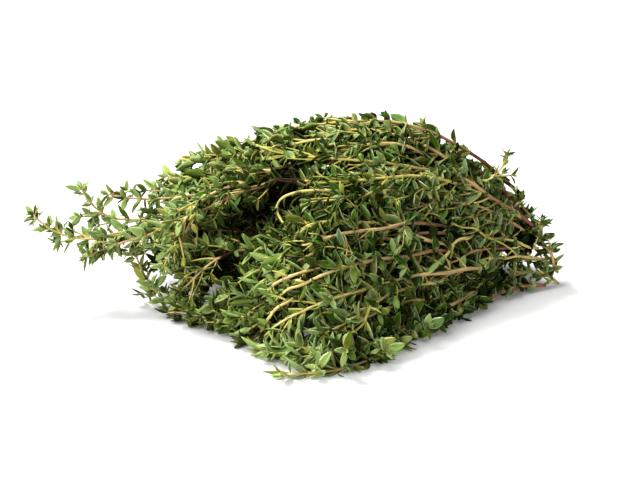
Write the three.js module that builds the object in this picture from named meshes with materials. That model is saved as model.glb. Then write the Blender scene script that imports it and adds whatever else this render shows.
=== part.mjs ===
// A loose bundle of fresh thyme lying on a table: 60 cut sprigs heaped together, their cut ends
// gathered at the right (+X) and their leafy tips fanned out to the left, the front and the back.
// Each sprig grew as one piece, so each is one closed mesh: a square tapering stem whose side faces
// grow opposite pairs of leaves and a few short side shoots. No two sprigs touch.
// Units are millimetres, +Z is up, and the table is the plane Z = 0.

import * as THREE from 'three';

// Stem: half the diagonal of its square section at the cut end and at the tip.
const BUTT_RADIUS = 1.0;
const TIP_RADIUS = 0.55;
const NODE_SPACING = 15;
const NODE_HEIGHT = 1.2;

// Leaf: a thin wedge, as thick at its foot as the node is high and sharp at its margins.
const LEAF_LENGTH = 6.6;
const LEAF_WIDTH = 2.8;
const LEAF_WIDEST_AT = 0.5;
const LEAF_LEAN = 0.62;
const NARROWING = 0.8;

// Side shoot, which grows from a node in place of a leaf.
const SHOOT_LENGTH = 11;
const SHOOT_LEAN = 0.95;
const SHOOT_TAPER = 0.75;

// Room kept between sprigs: from stem axis to stem axis, round a stem (whose straight stretches
// cut the bends a little), and between any other two surfaces.
const STEM_CLEARANCE = 4.4;
const STEM_ROOM = 1.4;
const GAP = 0.35;
const FLOOR_GAP = 0.02;
const SETTLE_ROUNDS = 70;
const SETTLE_STEP = 0.35;
const SAMPLES = 31;
const FINE_STEPS = 3;

// Brings the middle of the heap's box onto the origin.
const CENTRING = new THREE.Vector3(-2.7, 2.05, 0);

// The heap's cross-sections: ridge height, and where its front and back edges meet the table.
const RIDGE_Y = 22;
const SECTION_POWER = 1.5;
const HEAP_SECTIONS = [
  { x: -66, top: 38, front: 8, back: 34 },
  { x: -44, top: 60, front: -18, back: 52 },
  { x: -14, top: 72, front: -45, back: 62 },
  { x: 12, top: 77, front: -64, back: 64 },
  { x: 36, top: 76, front: -44, back: 62 },
  { x: 66, top: 68, front: -12, back: 58 },
  { x: 96, top: 38, front: 9, back: 46 },
  { x: 112, top: 14, front: 15, back: 36 },
];

// Sprigs laid one by one. Each route lists the points that the stem passes at its cut end, a third
// of the way, two thirds of the way and at its tip.
const LAID_SPRIGS = {
  crest: [
    [[98, 27, 38], [60, 21, 69], [30, 20, 76], [-2, 20, 73]],
    [[96, 22, 30], [46, 13, 70], [16, 12, 73], [-14, 7, 64]],
    [[102, 20, 28], [58, 6, 58], [20, -2, 67], [-16, 12, 67]],
    [[107, 29, 19], [66, 8, 54], [30, -9, 61], [-8, -7, 60]],
    [[106, 22, 14], [66, 6, 48], [38, -8, 56], [6, -21, 56]],
    [[48, 3, 46], [8, -16, 59], [-7, -15, 53], [-2, -27, 46]],
    [[80, 30, 44], [20, 6, 71], [-16, 12, 65], [-50, 24, 57]],
    [[90, 34, 30], [50, 10, 67], [28, 4, 71], [6, 5, 70]],
    [[40, 14, 44], [-8, 0, 61], [-32, 10, 56], [-55, 22, 50]],
  ],
  tail: [
    [[40, 2, 36], [-14, 4, 50], [-48, 4, 48], [-78, 2, 50]],
    [[30, -4, 24], [-30, -4, 36], [-62, -2, 34], [-88, -4, 24]],
    [[24, 14, 26], [-34, 10, 39], [-70, 10, 35], [-90, 8, 50]],
    [[6, 6, 28], [-42, 2, 38], [-80, 0, 31], [-109, -2, 42]],
    [[-6, 0, 56], [-40, -9, 47], [-46, -14, 30], [-40, -18, 12]],
    [[10, -8, 5], [-38, -12, 3], [-60, -4, 9], [-68, 0, 24]],
    [[14, 0, 18], [-34, -8, 27], [-52, -4, 26], [-64, -2, 36]],
    [[22, -20, 4], [-18, -30, 5], [-36, -25, 6], [-54, -12, 2]],
    [[50, 24, 40], [-8, 14, 52], [-38, 16, 48], [-64, 16, 46]],
    [[0, 6, 54], [-29, -4, 54], [-46, -13, 42], [-49, -17, 25]],
    [[8, -4, 20], [-20, -12, 31], [-36, -19, 27], [-48, -19, 15]],
  ],
  front: [
    [[88, 14, 24], [44, -16, 40], [12, -35, 42], [-14, -34, 25]],
    [[82, 8, 20], [26, -36, 36], [0, -46, 29], [-22, -34, 11]],
    [[72, 9, 33], [18, -32, 46], [-6, -33, 37], [-28, -24, 20]],
    [[86, 9, 15], [40, -30, 25], [8, -50, 24], [-12, -45, 9]],
    [[88, 10, 9], [48, -25, 14], [30, -43, 17], [12, -56, 15]],
    [[82, 8, 10], [42, -30, 21], [28, -46, 18], [16, -59, 9]],
    [[85, 8, 7], [30, -48, 6], [8, -58, 7], [-14, -46, 2]],
    [[74, 1, 2], [34, -46, 1], [16, -61, 1], [-4, -65, 1]],
    [[42, -9, 26], [0, -45, 27], [-12, -43, 12], [-20, -38, 1]],
    [[84, 14, 8], [54, -16, 7], [41, -32, 5], [26, -51, 1]],
    [[92, 18, 24], [66, -4, 30], [54, -18, 18], [42, -32, 9]],
    [[56, -6, 26], [4, -42, 35], [-12, -36, 24], [-32, -24, 12]],
    [[68, -2, 28], [20, -27, 50], [2, -28, 47], [-16, -24, 36]],
    [[88, 14, 2], [60, -9, 1], [47, -26, 1], [33, -43, 1]],
  ],
  right: [
    [[40, 6, 34], [70, 15, 44], [84, 14, 54], [88, 12, 63]],
    [[104, 18, 18], [84, 8, 27], [70, 1, 35], [56, -2, 43]],
    [[98, 18, 26], [76, 9, 42], [60, 1, 47], [40, -13, 47]],
    [[114, 16, 2], [100, 13, 9], [86, 6, 7], [68, -8, 5]],
    [[114, 19, 6], [110, 20, 13], [104, 22, 25], [95, 23, 37]],
    [[112, 22, 11], [96, 12, 17], [80, 4, 18], [60, -13, 12]],
    [[108, 13, 3], [90, 6, 4], [72, -6, 4], [54, -21, 2]],
    [[100, 18, 20], [78, 3, 24], [64, -8, 23], [48, -22, 16]],
  ],
};

// Sprigs laid in rows: over the heap's back, and under its skin. `shell` is their depth as a share
// of the heap's section, `lean` the angle round it at their middles, from the ridge to the back in
// degrees, and `swing` how far each sprig's ends lie up and down the slope from its middle.
const ROWS = {
  back: { count: 10, shell: 0.95, lean: [14, 80], swing: 13, butt: [100, 82], tip: [-50, -12] },
  core: { count: 8, shell: 0.52, lean: [-64, 64], swing: 16, butt: [103, 86], tip: [-60, -42] },
};

// Turn in radians from one row sprig's slant to the next, which keeps neighbours from lying parallel.
const SLANT_TURN = 2.4;

const LEAF_COLOURS = [0x56693a, 0x4f6234, 0x5f7340, 0x495a30];
const SKIN_ROUGHNESS = 0.6;

// ---- routes ------------------------------------------------------------------------------------

/** Reads one field of the heap's cross-sections at a place along X, straight between sections. */
function sectionAt(x, field) {
  const last = HEAP_SECTIONS.length - 1;
  const place = THREE.MathUtils.clamp(x, HEAP_SECTIONS[0].x, HEAP_SECTIONS[last].x);
  const i = Math.min(HEAP_SECTIONS.findLastIndex((section) => section.x <= place), last - 1);
  const [low, high] = [HEAP_SECTIONS[i], HEAP_SECTIONS[i + 1]];
  return THREE.MathUtils.mapLinear(place, low.x, high.x, low[field], high[field]);
}

/** A point of the heap's section at x, leaning by an angle in degrees from the ridge to an edge. */
function heapPoint(x, lean, shell) {
  const angle = THREE.MathUtils.degToRad(Math.abs(lean));
  const edge = sectionAt(x, lean < 0 ? 'front' : 'back');
  const out = Math.sin(angle) ** (2 / SECTION_POWER) * shell;
  const up = Math.cos(angle) ** (2 / SECTION_POWER) * shell;
  return [x, RIDGE_Y + (edge - RIDGE_Y) * out, sectionAt(x, 'top') * up];
}

/** The routes of one row. Every second sprig lies further along and slants the other way. */
function rowRoutes({ count, shell, lean, swing, butt, tip }) {
  return Array.from({ length: count }, (_, i) => {
    const middle = THREE.MathUtils.mapLinear(i, 0, count - 1, lean[0], lean[1]);
    const slant = swing * Math.cos(SLANT_TURN * i);
    const [from, to] = [butt[i % 2], tip[i % 2]];
    return [0, 1 / 3, 2 / 3, 1].map((share) => {
      const angle = THREE.MathUtils.clamp(middle + slant * (2 * share - 1), -86, 86);
      return heapPoint(THREE.MathUtils.lerp(from, to, share), angle, shell);
    });
  });
}

/** The point at t, from 0 to 1, of the cubic through a route's four evenly spaced points. */
function routePoint(route, t) {
  const a = 3 * t;
  const weights = [
    -(a - 1) * (a - 2) * (a - 3) / 6,
    a * (a - 2) * (a - 3) / 2,
    -a * (a - 1) * (a - 3) / 2,
    a * (a - 1) * (a - 2) / 6,
  ];
  const point = CENTRING.clone();
  route.forEach((corner, i) => point.addScaledVector(new THREE.Vector3(...corner), weights[i]));
  return point;
}

/** The stem's radius at t, from 0 at the cut end to 1 at the tip. */
function stemRadius(t) {
  return THREE.MathUtils.lerp(BUTT_RADIUS, TIP_RADIUS, t);
}

/** Adds to `push` what moves two stems apart wherever their samples come within the clearance. */
function partStems(stemA, stemB, pushA, pushB) {
  const between = new THREE.Vector3();
  for (let i = 0; i < SAMPLES; i += 1) {
    for (let j = 0; j < SAMPLES; j += 1) {
      between.subVectors(stemA[i], stemB[j]);
      const distance = between.length();
      if (distance < STEM_CLEARANCE) {
        const share = SETTLE_STEP * (STEM_CLEARANCE - distance) / Math.max(distance, GAP);
        pushA[i].addScaledVector(between, share);
        pushB[j].addScaledVector(between, -share);
      }
    }
  }
}

/** Evens a list of pushes along its stem, so that the stem bends and doesn't kink. */
function evened(push) {
  return push.map((here, i) => {
    const before = push[Math.max(i - 1, 0)];
    const after = push[Math.min(i + 1, push.length - 1)];
    return here.clone().multiplyScalar(2).add(before).add(after).multiplyScalar(0.25);
  });
}

/** Samples every route and eases the stems apart until they lie beside and over each other. */
function settle(routes) {
  const stems = routes.map((route) => Array.from(
    { length: SAMPLES },
    (_, i) => routePoint(route, i / (SAMPLES - 1)),
  ));
  for (let round = 0; round < SETTLE_ROUNDS; round += 1) {
    const pushes = stems.map((stem) => stem.map(() => new THREE.Vector3()));
    stems.forEach((stem, a) => {
      for (let b = a + 1; b < stems.length; b += 1) {
        partStems(stem, stems[b], pushes[a], pushes[b]);
      }
    });
    stems.forEach((stem, a) => {
      const push = evened(evened(pushes[a]));
      stem.forEach((point, i) => {
        point.add(push[i]);
        point.z = Math.max(point.z, stemRadius(i / (SAMPLES - 1)) + FLOOR_GAP);
      });
    });
  }
  return stems;
}

// ---- room for leaves -----------------------------------------------------------------------------

/** Remembers the round spots that the sprigs fill, so that leaves can be kept off one another. */
class Room {
  constructor() {
    this.spots = [];
  }

  fill(points, radii, owner, isStem) {
    points.forEach((at, i) => this.spots.push({ at, radius: radii[i], owner, isStem }));
  }

  /** True where spots of the given radii are clear of everything but the owner's own stem. */
  hasRoom(points, radii, owner) {
    return points.every((point, i) => point.z > radii[i] / 2 && this.spots.every((spot) => (
      (spot.isStem && spot.owner === owner)
      || point.distanceTo(spot.at) > radii[i] + spot.radius + GAP
    )));
  }
}

/** Points along a stem, `FINE_STEPS` to each interval of its samples. */
function finePoints(stem) {
  const points = [];
  for (let i = 0; i < (stem.length - 1) * FINE_STEPS; i += 1) {
    const from = Math.floor(i / FINE_STEPS);
    points.push(stem[from].clone().lerp(stem[from + 1], (i % FINE_STEPS) / FINE_STEPS));
  }
  return [...points, stem.at(-1)];
}

// ---- one sprig's mesh ----------------------------------------------------------------------------

/** The closed skin of one sprig, grown ring by ring from its cut end. */
class SprigSkin {
  constructor(owner, room) {
    this.owner = owner;
    this.room = room;
    this.points = [];
    this.faces = [];
  }

  add(point) {
    this.points.push(point);
    return this.points.length - 1;
  }

  quad(a, b, c, d) {
    this.faces.push([a, b, c], [a, c, d]);
  }

  middle(indices) {
    const sum = new THREE.Vector3();
    indices.forEach((index) => sum.add(this.points[index]));
    return sum.divideScalar(indices.length);
  }

  /** Four corners round `at`, square to `along` and in line with the corners of the ring before. */
  ringAfter(ring, { at, along, radius }) {
    const centre = this.middle(ring);
    return ring.map((index) => {
      const corner = this.points[index].clone().sub(centre);
      corner.addScaledVector(along, -corner.dot(along)).setLength(radius);
      return this.add(corner.add(at));
    });
  }

  /** Carries a ring through the stations and closes it. A side that bears a part is left to it. */
  grow(ring, stations) {
    let last = ring;
    stations.forEach((station) => {
      const next = this.ringAfter(last, station);
      for (let side = 0; side < 4; side += 1) {
        const other = (side + 1) % 4;
        const face = [last[side], last[other], next[other], next[side]];
        const isBorne = station.bears?.[side]?.(face, station.along);
        if (!isBorne) this.quad(...face);
      }
      last = next;
    });
    this.quad(...last);
  }

  /** Grows a leaf from a side face, if it has room: a wedge with a tip and two widest corners. */
  leaf(face, along, size = 1) {
    const foot = this.middle(face);
    const across = this.points[face[1]].clone().sub(this.points[face[0]]).normalize();
    const out = across.clone().cross(along).normalize();
    const reach = out.multiplyScalar(Math.cos(LEAF_LEAN)).addScaledVector(along, Math.sin(LEAF_LEAN));
    const length = LEAF_LENGTH * size;
    const tip = foot.clone().addScaledVector(reach, length);
    tip.z = Math.max(tip.z, FLOOR_GAP);
    const belly = foot.clone().lerp(tip, LEAF_WIDEST_AT);
    const half = LEAF_WIDTH * size / 2;
    const spots = [belly.clone().lerp(foot, 0.5), belly, belly.clone().lerp(tip, 0.5), tip];
    const radii = [half * NARROWING, half, half * NARROWING, GAP];
    if (!this.room.hasRoom(spots, radii, this.owner)) return false;
    this.room.fill(spots, radii, this.owner, false);
    const [left, right] = [-half, half].map((reachAcross) => {
      const corner = belly.clone().addScaledVector(across, reachAcross);
      corner.z = Math.max(corner.z, FLOOR_GAP);
      return this.add(corner);
    });
    const end = this.add(tip);
    const [a, b, c, d] = face;
    this.faces.push([a, b, end], [b, right, end], [b, c, right], [c, end, right]);
    this.faces.push([c, d, end], [d, left, end], [d, a, left], [a, end, left]);
    return true;
  }

  /** Grows a short shoot with one pair of leaves from a side face, or else a leaf. */
  shoot(face, along) {
    const foot = this.middle(face);
    const across = this.points[face[1]].clone().sub(this.points[face[0]]).normalize();
    const out = across.clone().cross(along).normalize();
    const reach = out.multiplyScalar(Math.cos(SHOOT_LEAN)).addScaledVector(along, Math.sin(SHOOT_LEAN));
    const radius = TIP_RADIUS * SHOOT_TAPER;
    const place = (distance) => foot.clone().addScaledVector(reach, distance);
    const spots = [0.2, 0.4, 0.6, 0.8, 1].map((share) => place(SHOOT_LENGTH * share));
    const radii = spots.map(() => 2 * radius);
    if (!this.room.hasRoom(spots, radii, this.owner)) return this.leaf(face, along);
    this.room.fill(spots, radii, this.owner, false);
    const leaf = (side) => this.leaf(side, reach, SHOOT_TAPER);
    const nodeAt = SHOOT_LENGTH - 2 * NODE_HEIGHT;
    this.grow(face, [
      { at: place(SHOOT_LENGTH / 3), along: reach, radius },
      { at: place(nodeAt), along: reach, radius },
      { at: place(nodeAt + NODE_HEIGHT), along: reach, radius, bears: { 1: leaf, 3: leaf } },
      { at: place(SHOOT_LENGTH), along: reach, radius: radius / 2 },
    ]);
    return true;
  }

  geometry() {
    const geometry = new THREE.BufferGeometry();
    const positions = this.points.flatMap((point) => point.toArray());
    geometry.setAttribute('position', new THREE.Float32BufferAttribute(positions, 3));
    geometry.setIndex(this.faces.flat());
    geometry.computeVertexNormals();
    return geometry;
  }
}

/** The stem's place, direction and radius at t, from 0 at the cut end to 1 at the tip. */
function stationAt(curve, t) {
  return {
    at: curve.getPointAt(t),
    along: curve.getTangentAt(t),
    radius: stemRadius(t),
  };
}

/** Builds one sprig along its settled stem: nodes at even steps, leaf pairs turning by a quarter. */
function sprigGeometry(stem, owner, room) {
  const curve = new THREE.CatmullRomCurve3(stem);
  const length = curve.getLength();
  const nodes = Math.max(3, Math.round(length / NODE_SPACING));
  const nodeShare = NODE_HEIGHT / length;
  const skin = new SprigSkin(owner, room);
  const leaf = (face, along) => skin.leaf(face, along);
  const shoot = (face, along) => skin.shoot(face, along);

  const butt = stationAt(curve, 0);
  const side = new THREE.Vector3(0, 0, 1).cross(butt.along).normalize();
  const rise = butt.along.clone().cross(side);
  const ring = [[1, -1], [1, 1], [-1, 1], [-1, -1]].map(([s, r]) => skin.add(
    side.clone().multiplyScalar(s).addScaledVector(rise, r).setLength(butt.radius).add(butt.at),
  ));
  skin.quad(...ring.toReversed());

  const stations = [];
  for (let node = 1; node <= nodes; node += 1) {
    const t = (node - 0.4) / nodes;
    const turn = (node + owner) % 2;
    const shootSide = (node + owner) % 3 === 0 && node < nodes ? turn : -1;
    const bears = { [turn]: leaf, [turn + 2]: leaf };
    if (shootSide >= 0) bears[shootSide] = shoot;
    stations.push(stationAt(curve, t), { ...stationAt(curve, t + nodeShare), bears });
  }
  stations.push(stationAt(curve, 1));
  skin.grow(ring, stations);
  return skin.geometry();
}

// ---- the bundle ----------------------------------------------------------------------------------

/** Every sprig's name and route, group by group. */
function allSprigs() {
  const groups = { ...LAID_SPRIGS };
  Object.entries(ROWS).forEach(([name, row]) => {
    groups[name] = rowRoutes(row);
  });
  return Object.entries(groups).flatMap(([name, routes]) => routes.map((route, i) => ({
    name: `${name}_sprig_${String(i + 1).padStart(2, '0')}`,
    route,
  })));
}

function thymeBundle() {
  const sprigs = allSprigs();
  const stems = settle(sprigs.map((sprig) => sprig.route));
  const room = new Room();
  stems.forEach((stem, owner) => {
    const points = finePoints(stem);
    room.fill(points, points.map(() => STEM_ROOM), owner, true);
  });

  const bundle = new THREE.Group();
  sprigs.forEach(({ name }, owner) => {
    const material = new THREE.MeshStandardMaterial({
      color: LEAF_COLOURS[owner % LEAF_COLOURS.length],
      roughness: SKIN_ROUGHNESS,
      metalness: 0,
    });
    const mesh = new THREE.Mesh(sprigGeometry(stems[owner], owner, room), material);
    mesh.name = name;
    bundle.add(mesh);
  });
  return bundle;
}

export default thymeBundle();
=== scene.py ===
"""Finished look of a loose bundle of fresh thyme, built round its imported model.

Every packed sprig is replaced by a leafy one on the same stem: a squarish tapering stem with
swollen nodes, opposite pairs of leaves that turn by a quarter from node to node, bunches of small
leaves in their axils, side shoots and a rosette at each tip. The tables and the arithmetic of
shape are in millimetres; meshes, lights and the camera are in metres.
"""

import logging
import math
from dataclasses import dataclass, field, fields, replace
from enum import Enum

import bpy
import numpy as np
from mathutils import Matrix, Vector


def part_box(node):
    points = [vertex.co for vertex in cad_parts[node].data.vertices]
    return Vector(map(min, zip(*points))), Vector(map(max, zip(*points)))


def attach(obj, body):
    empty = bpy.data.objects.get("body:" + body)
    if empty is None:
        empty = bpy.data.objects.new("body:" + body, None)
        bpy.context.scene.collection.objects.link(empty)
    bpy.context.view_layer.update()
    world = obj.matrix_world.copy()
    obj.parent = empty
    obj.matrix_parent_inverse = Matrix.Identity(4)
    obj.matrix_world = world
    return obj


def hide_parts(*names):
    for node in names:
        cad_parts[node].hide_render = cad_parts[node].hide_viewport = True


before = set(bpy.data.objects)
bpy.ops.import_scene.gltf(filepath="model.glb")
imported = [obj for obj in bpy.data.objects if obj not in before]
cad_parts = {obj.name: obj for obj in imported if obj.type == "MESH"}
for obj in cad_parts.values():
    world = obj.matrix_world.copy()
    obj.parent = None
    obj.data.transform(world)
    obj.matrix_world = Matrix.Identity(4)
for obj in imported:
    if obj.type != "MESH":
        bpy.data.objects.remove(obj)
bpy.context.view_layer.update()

log = logging.getLogger("thyme_bundle")

METRE = 1000.0
BODY = "root"
UV_NAME = "OFBake"
GOLDEN = 0.618

Pair = tuple[float, float]
Triple = tuple[float, float, float]
Colour = tuple[float, float, float]
Stops = tuple[tuple[float, Colour], ...]
Socket = bpy.types.NodeSocket


def unit(vectors: np.ndarray) -> np.ndarray:
    """The vectors scaled to length one."""
    return vectors / np.linalg.norm(vectors, axis=-1, keepdims=True).clip(1e-9)


def blend(pair: Pair, share: np.ndarray) -> np.ndarray:
    """Values that go straight from the first of a pair, at share 0, to the second, at 1."""
    return pair[0] + (pair[1] - pair[0]) * share


# ---- where the stems lie -------------------------------------------------------------------------


class Part(Enum):
    """A part of the heap, whose sprigs lie and grow alike."""

    CREST = "crest"
    TAIL = "tail"
    FRONT = "front"
    RIGHT = "right"
    BACK = "back"
    CORE = "core"


# Points that each laid stem passes at its cut end, a third and two thirds of the way, and its tip.
LAID_SPRIGS = {
    Part.CREST: [
        [[98, 27, 38], [60, 21, 69], [30, 20, 76], [-2, 20, 73]],
        [[96, 22, 30], [46, 13, 70], [16, 12, 73], [-14, 7, 64]],
        [[102, 20, 28], [58, 6, 58], [20, -2, 67], [-16, 12, 67]],
        [[107, 29, 19], [66, 8, 54], [30, -9, 61], [-8, -7, 60]],
        [[106, 22, 14], [66, 6, 48], [38, -8, 56], [6, -21, 56]],
        [[48, 3, 46], [8, -16, 59], [-7, -15, 53], [-2, -27, 46]],
        [[80, 30, 44], [20, 6, 71], [-16, 12, 65], [-50, 24, 57]],
        [[90, 34, 30], [50, 10, 67], [28, 4, 71], [6, 5, 70]],
        [[40, 14, 44], [-8, 0, 61], [-32, 10, 56], [-55, 22, 50]],
    ],
    Part.TAIL: [
        [[40, 2, 36], [-14, 4, 50], [-48, 4, 48], [-78, 2, 50]],
        [[30, -4, 24], [-30, -4, 36], [-62, -2, 34], [-88, -4, 24]],
        [[24, 14, 26], [-34, 10, 39], [-70, 10, 35], [-90, 8, 50]],
        [[6, 6, 28], [-42, 2, 38], [-80, 0, 31], [-109, -2, 42]],
        [[-6, 0, 56], [-40, -9, 47], [-46, -14, 30], [-40, -18, 12]],
        [[10, -8, 5], [-38, -12, 3], [-60, -4, 9], [-68, 0, 24]],
        [[14, 0, 18], [-34, -8, 27], [-52, -4, 26], [-64, -2, 36]],
        [[22, -20, 4], [-18, -30, 5], [-36, -25, 6], [-54, -12, 2]],
        [[50, 24, 40], [-8, 14, 52], [-38, 16, 48], [-64, 16, 46]],
        [[0, 6, 54], [-29, -4, 54], [-46, -13, 42], [-49, -17, 25]],
        [[8, -4, 20], [-20, -12, 31], [-36, -19, 27], [-48, -19, 15]],
    ],
    Part.FRONT: [
        [[88, 14, 24], [44, -16, 40], [12, -35, 42], [-14, -34, 25]],
        [[82, 8, 20], [26, -36, 36], [0, -46, 29], [-22, -34, 11]],
        [[72, 9, 33], [18, -32, 46], [-6, -33, 37], [-28, -24, 20]],
        [[86, 9, 15], [40, -30, 25], [8, -50, 24], [-12, -45, 9]],
        [[88, 10, 9], [48, -25, 14], [30, -43, 17], [12, -56, 15]],
        [[82, 8, 10], [42, -30, 21], [28, -46, 18], [16, -59, 9]],
        [[85, 8, 7], [30, -48, 6], [8, -58, 7], [-14, -46, 2]],
        [[74, 1, 2], [34, -46, 1], [16, -61, 1], [-4, -65, 1]],
        [[42, -9, 26], [0, -45, 27], [-12, -43, 12], [-20, -38, 1]],
        [[84, 14, 8], [54, -16, 7], [41, -32, 5], [26, -51, 1]],
        [[92, 18, 24], [66, -4, 30], [54, -18, 18], [42, -32, 9]],
        [[56, -6, 26], [4, -42, 35], [-12, -36, 24], [-32, -24, 12]],
        [[68, -2, 28], [20, -27, 50], [2, -28, 47], [-16, -24, 36]],
        [[88, 14, 2], [60, -9, 1], [47, -26, 1], [33, -43, 1]],
    ],
    Part.RIGHT: [
        [[40, 6, 34], [70, 15, 44], [84, 14, 54], [88, 12, 63]],
        [[104, 18, 18], [84, 8, 27], [70, 1, 35], [56, -2, 43]],
        [[98, 18, 26], [76, 9, 42], [60, 1, 47], [40, -13, 47]],
        [[114, 16, 2], [100, 13, 9], [86, 6, 7], [68, -8, 5]],
        [[114, 19, 6], [110, 20, 13], [104, 22, 25], [95, 23, 37]],
        [[112, 22, 11], [96, 12, 17], [80, 4, 18], [60, -13, 12]],
        [[108, 13, 3], [90, 6, 4], [72, -6, 4], [54, -21, 2]],
        [[100, 18, 20], [78, 3, 24], [64, -8, 23], [48, -22, 16]],
    ],
}


@dataclass(frozen=True)
class Row:
    """Sprigs laid side by side along the heap.

    `shell` is their depth as a share of the heap's section, `lean` the angles round it of the first
    and the last in degrees, and `swing` how far a sprig slants across. `butt` and `tip` are the x
    of the ends, in turn from sprig to sprig.
    """

    count: int
    shell: float
    lean: Pair
    swing: float
    butt: Pair
    tip: Pair


ROWS = {
    Part.BACK: Row(10, 0.95, (14, 80), 13, (100, 82), (-50, -12)),
    Part.CORE: Row(8, 0.52, (-64, 64), 16, (103, 86), (-60, -42)),
}


@dataclass(frozen=True)
class Heap:
    """The heap that the stems lie in, and the room that they keep from each other.

    `sections` holds x, ridge height, front edge and back edge of each cross-section, and `hollows`
    the middles and radii of balls where leaves are few and leaves and stems are painted dark, as
    painted shade. Stems keep `clearance` between their middle lines, and leaves may stand out of
    the heap by `slack`.
    """

    ridge_y: float = 22.0
    core_z: float = 22.0
    power: float = 1.5
    sections: tuple[tuple[float, float, float, float], ...] = (
        (-66, 38, 8, 34),
        (-44, 60, -18, 52),
        (-14, 72, -45, 62),
        (12, 77, -64, 64),
        (36, 76, -44, 62),
        (66, 68, -12, 58),
        (96, 38, 9, 46),
        (112, 14, 15, 36),
    )
    centring: Triple = (-2.7, 2.05, 0.0)
    hollows: tuple[tuple[float, float, float, float], ...] = (
        (-5.0, -3.0, 57.0, 9.5),
        (-8.0, 8.0, 53.0, 9.5),
        (-21.0, -6.0, 42.0, 10.0),
        (-31.0, -10.0, 24.0, 8.0),
    )
    slant_turn: float = 2.4
    steepest: float = 86.0
    samples: int = 31
    clearance: float = 4.4
    nearest: float = 0.35
    rounds: int = 70
    step: float = 0.35
    evenings: int = 2
    floor_gap: float = 0.02
    butt_radius: float = 1.0
    tip_radius: float = 0.55
    slack: float = 4.4
    clumps: Pair = (10.0, 36.0)
    tone_waves: int = 9
    tone_seed: int = 5

    def section(self, x: float | np.ndarray) -> np.ndarray:
        """Ridge height, front edge and back edge at x, straight between the stated sections."""
        table = np.array(self.sections)
        return np.array([np.interp(x, table[:, 0], table[:, k]) for k in (1, 2, 3)])

    def is_hollow(self, points: np.ndarray) -> np.ndarray:
        """Whether each point is within a hollow."""
        inside = np.zeros(len(points), dtype=bool)
        for *middle, radius in self.hollows:
            inside |= np.linalg.norm(points - np.array(middle), axis=1) < radius
        return inside

    def is_stray(self, points: np.ndarray) -> np.ndarray:
        """Whether each point is over `slack` millimetres outside the heap.

        The section at a point's x is the superellipse of `point`; the point is outside it by the
        amount that its own superellipse, through it, is larger at the ridge.
        """
        points = points - np.array(self.centring)
        top, front, back = self.section(points[:, 0])
        out = points[:, 1] - self.ridge_y
        edge = np.where(out < 0, self.ridge_y - front, back - self.ridge_y)
        size = (np.abs(out) / edge) ** self.power + (points[:, 2].clip(0) / top) ** self.power
        return (size ** (1 / self.power) - 1) * top > self.slack

    def tone(self, points: np.ndarray) -> np.ndarray:
        """How lush the heap is at the points: about 0, over 0 in bright clumps and under in dark.

        The sum of sines that run in random directions, whose lengths go from the first to the
        second of `clumps`, scaled to a spread of 1.
        """
        rng = np.random.default_rng(self.tone_seed)
        ways = unit(rng.normal(size=(self.tone_waves, 3)))
        phases = rng.uniform(0, 2 * np.pi, self.tone_waves)
        ways = ways / np.linspace(*self.clumps, self.tone_waves)[:, None]
        waves = np.sin(2 * np.pi * points @ ways.T + phases)
        return waves.sum(axis=1) / math.sqrt(self.tone_waves / 2)

    def outward(self, points: np.ndarray) -> np.ndarray:
        """Unit vectors square to the ridge that lead out of the heap at the points.

        Each leads away from a line under the ridge, at `core_z` above the table.
        """
        away = np.array(points, dtype=float)
        away[..., 0] = 0
        away[..., 1] -= self.ridge_y + self.centring[1]
        away[..., 2] -= self.core_z
        return unit(away)

    def point(self, x: float, lean: float, shell: float) -> list[float]:
        """A point of the section at x.

        Args:
            x: Place along the heap.
            lean: Angle round the section in degrees, from the ridge to the front, if under 0, or
                to the back.
            shell: Depth as a share of the section.

        Returns:
            The point: the section is a superellipse, so the way out goes as the sine of the lean to
            the power 2 / power, and the height as the cosine to the same power.
        """
        top, front, back = self.section(x)
        angle = math.radians(abs(lean))
        out = math.sin(angle) ** (2 / self.power) * shell
        up = math.cos(angle) ** (2 / self.power) * shell
        edge = front if lean < 0 else back
        return [x, self.ridge_y + (edge - self.ridge_y) * out, top * up]

    def row_routes(self, row: Row) -> list[list[list[float]]]:
        """The four-point routes of a row's sprigs, each slanting its own way across the slope."""
        routes = []
        for i in range(row.count):
            middle = row.lean[0] + (row.lean[1] - row.lean[0]) * i / (row.count - 1)
            slant = row.swing * math.cos(self.slant_turn * i)
            start, end = row.butt[i % 2], row.tip[i % 2]
            leans = [middle + slant * (2 * k / 3 - 1) for k in range(4)]
            routes.append([
                self.point(start + (end - start) * k / 3,
                           min(max(leans[k], -self.steepest), self.steepest), row.shell)
                for k in range(4)
            ])
        return routes

    def routes(self) -> dict[str, list[list[float]]]:
        """Every sprig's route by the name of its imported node."""
        laid = LAID_SPRIGS | {part: self.row_routes(row) for part, row in ROWS.items()}
        return {
            f"{part.value}_sprig_{number:02d}": route
            for part, routes in laid.items()
            for number, route in enumerate(routes, 1)
        }

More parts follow.
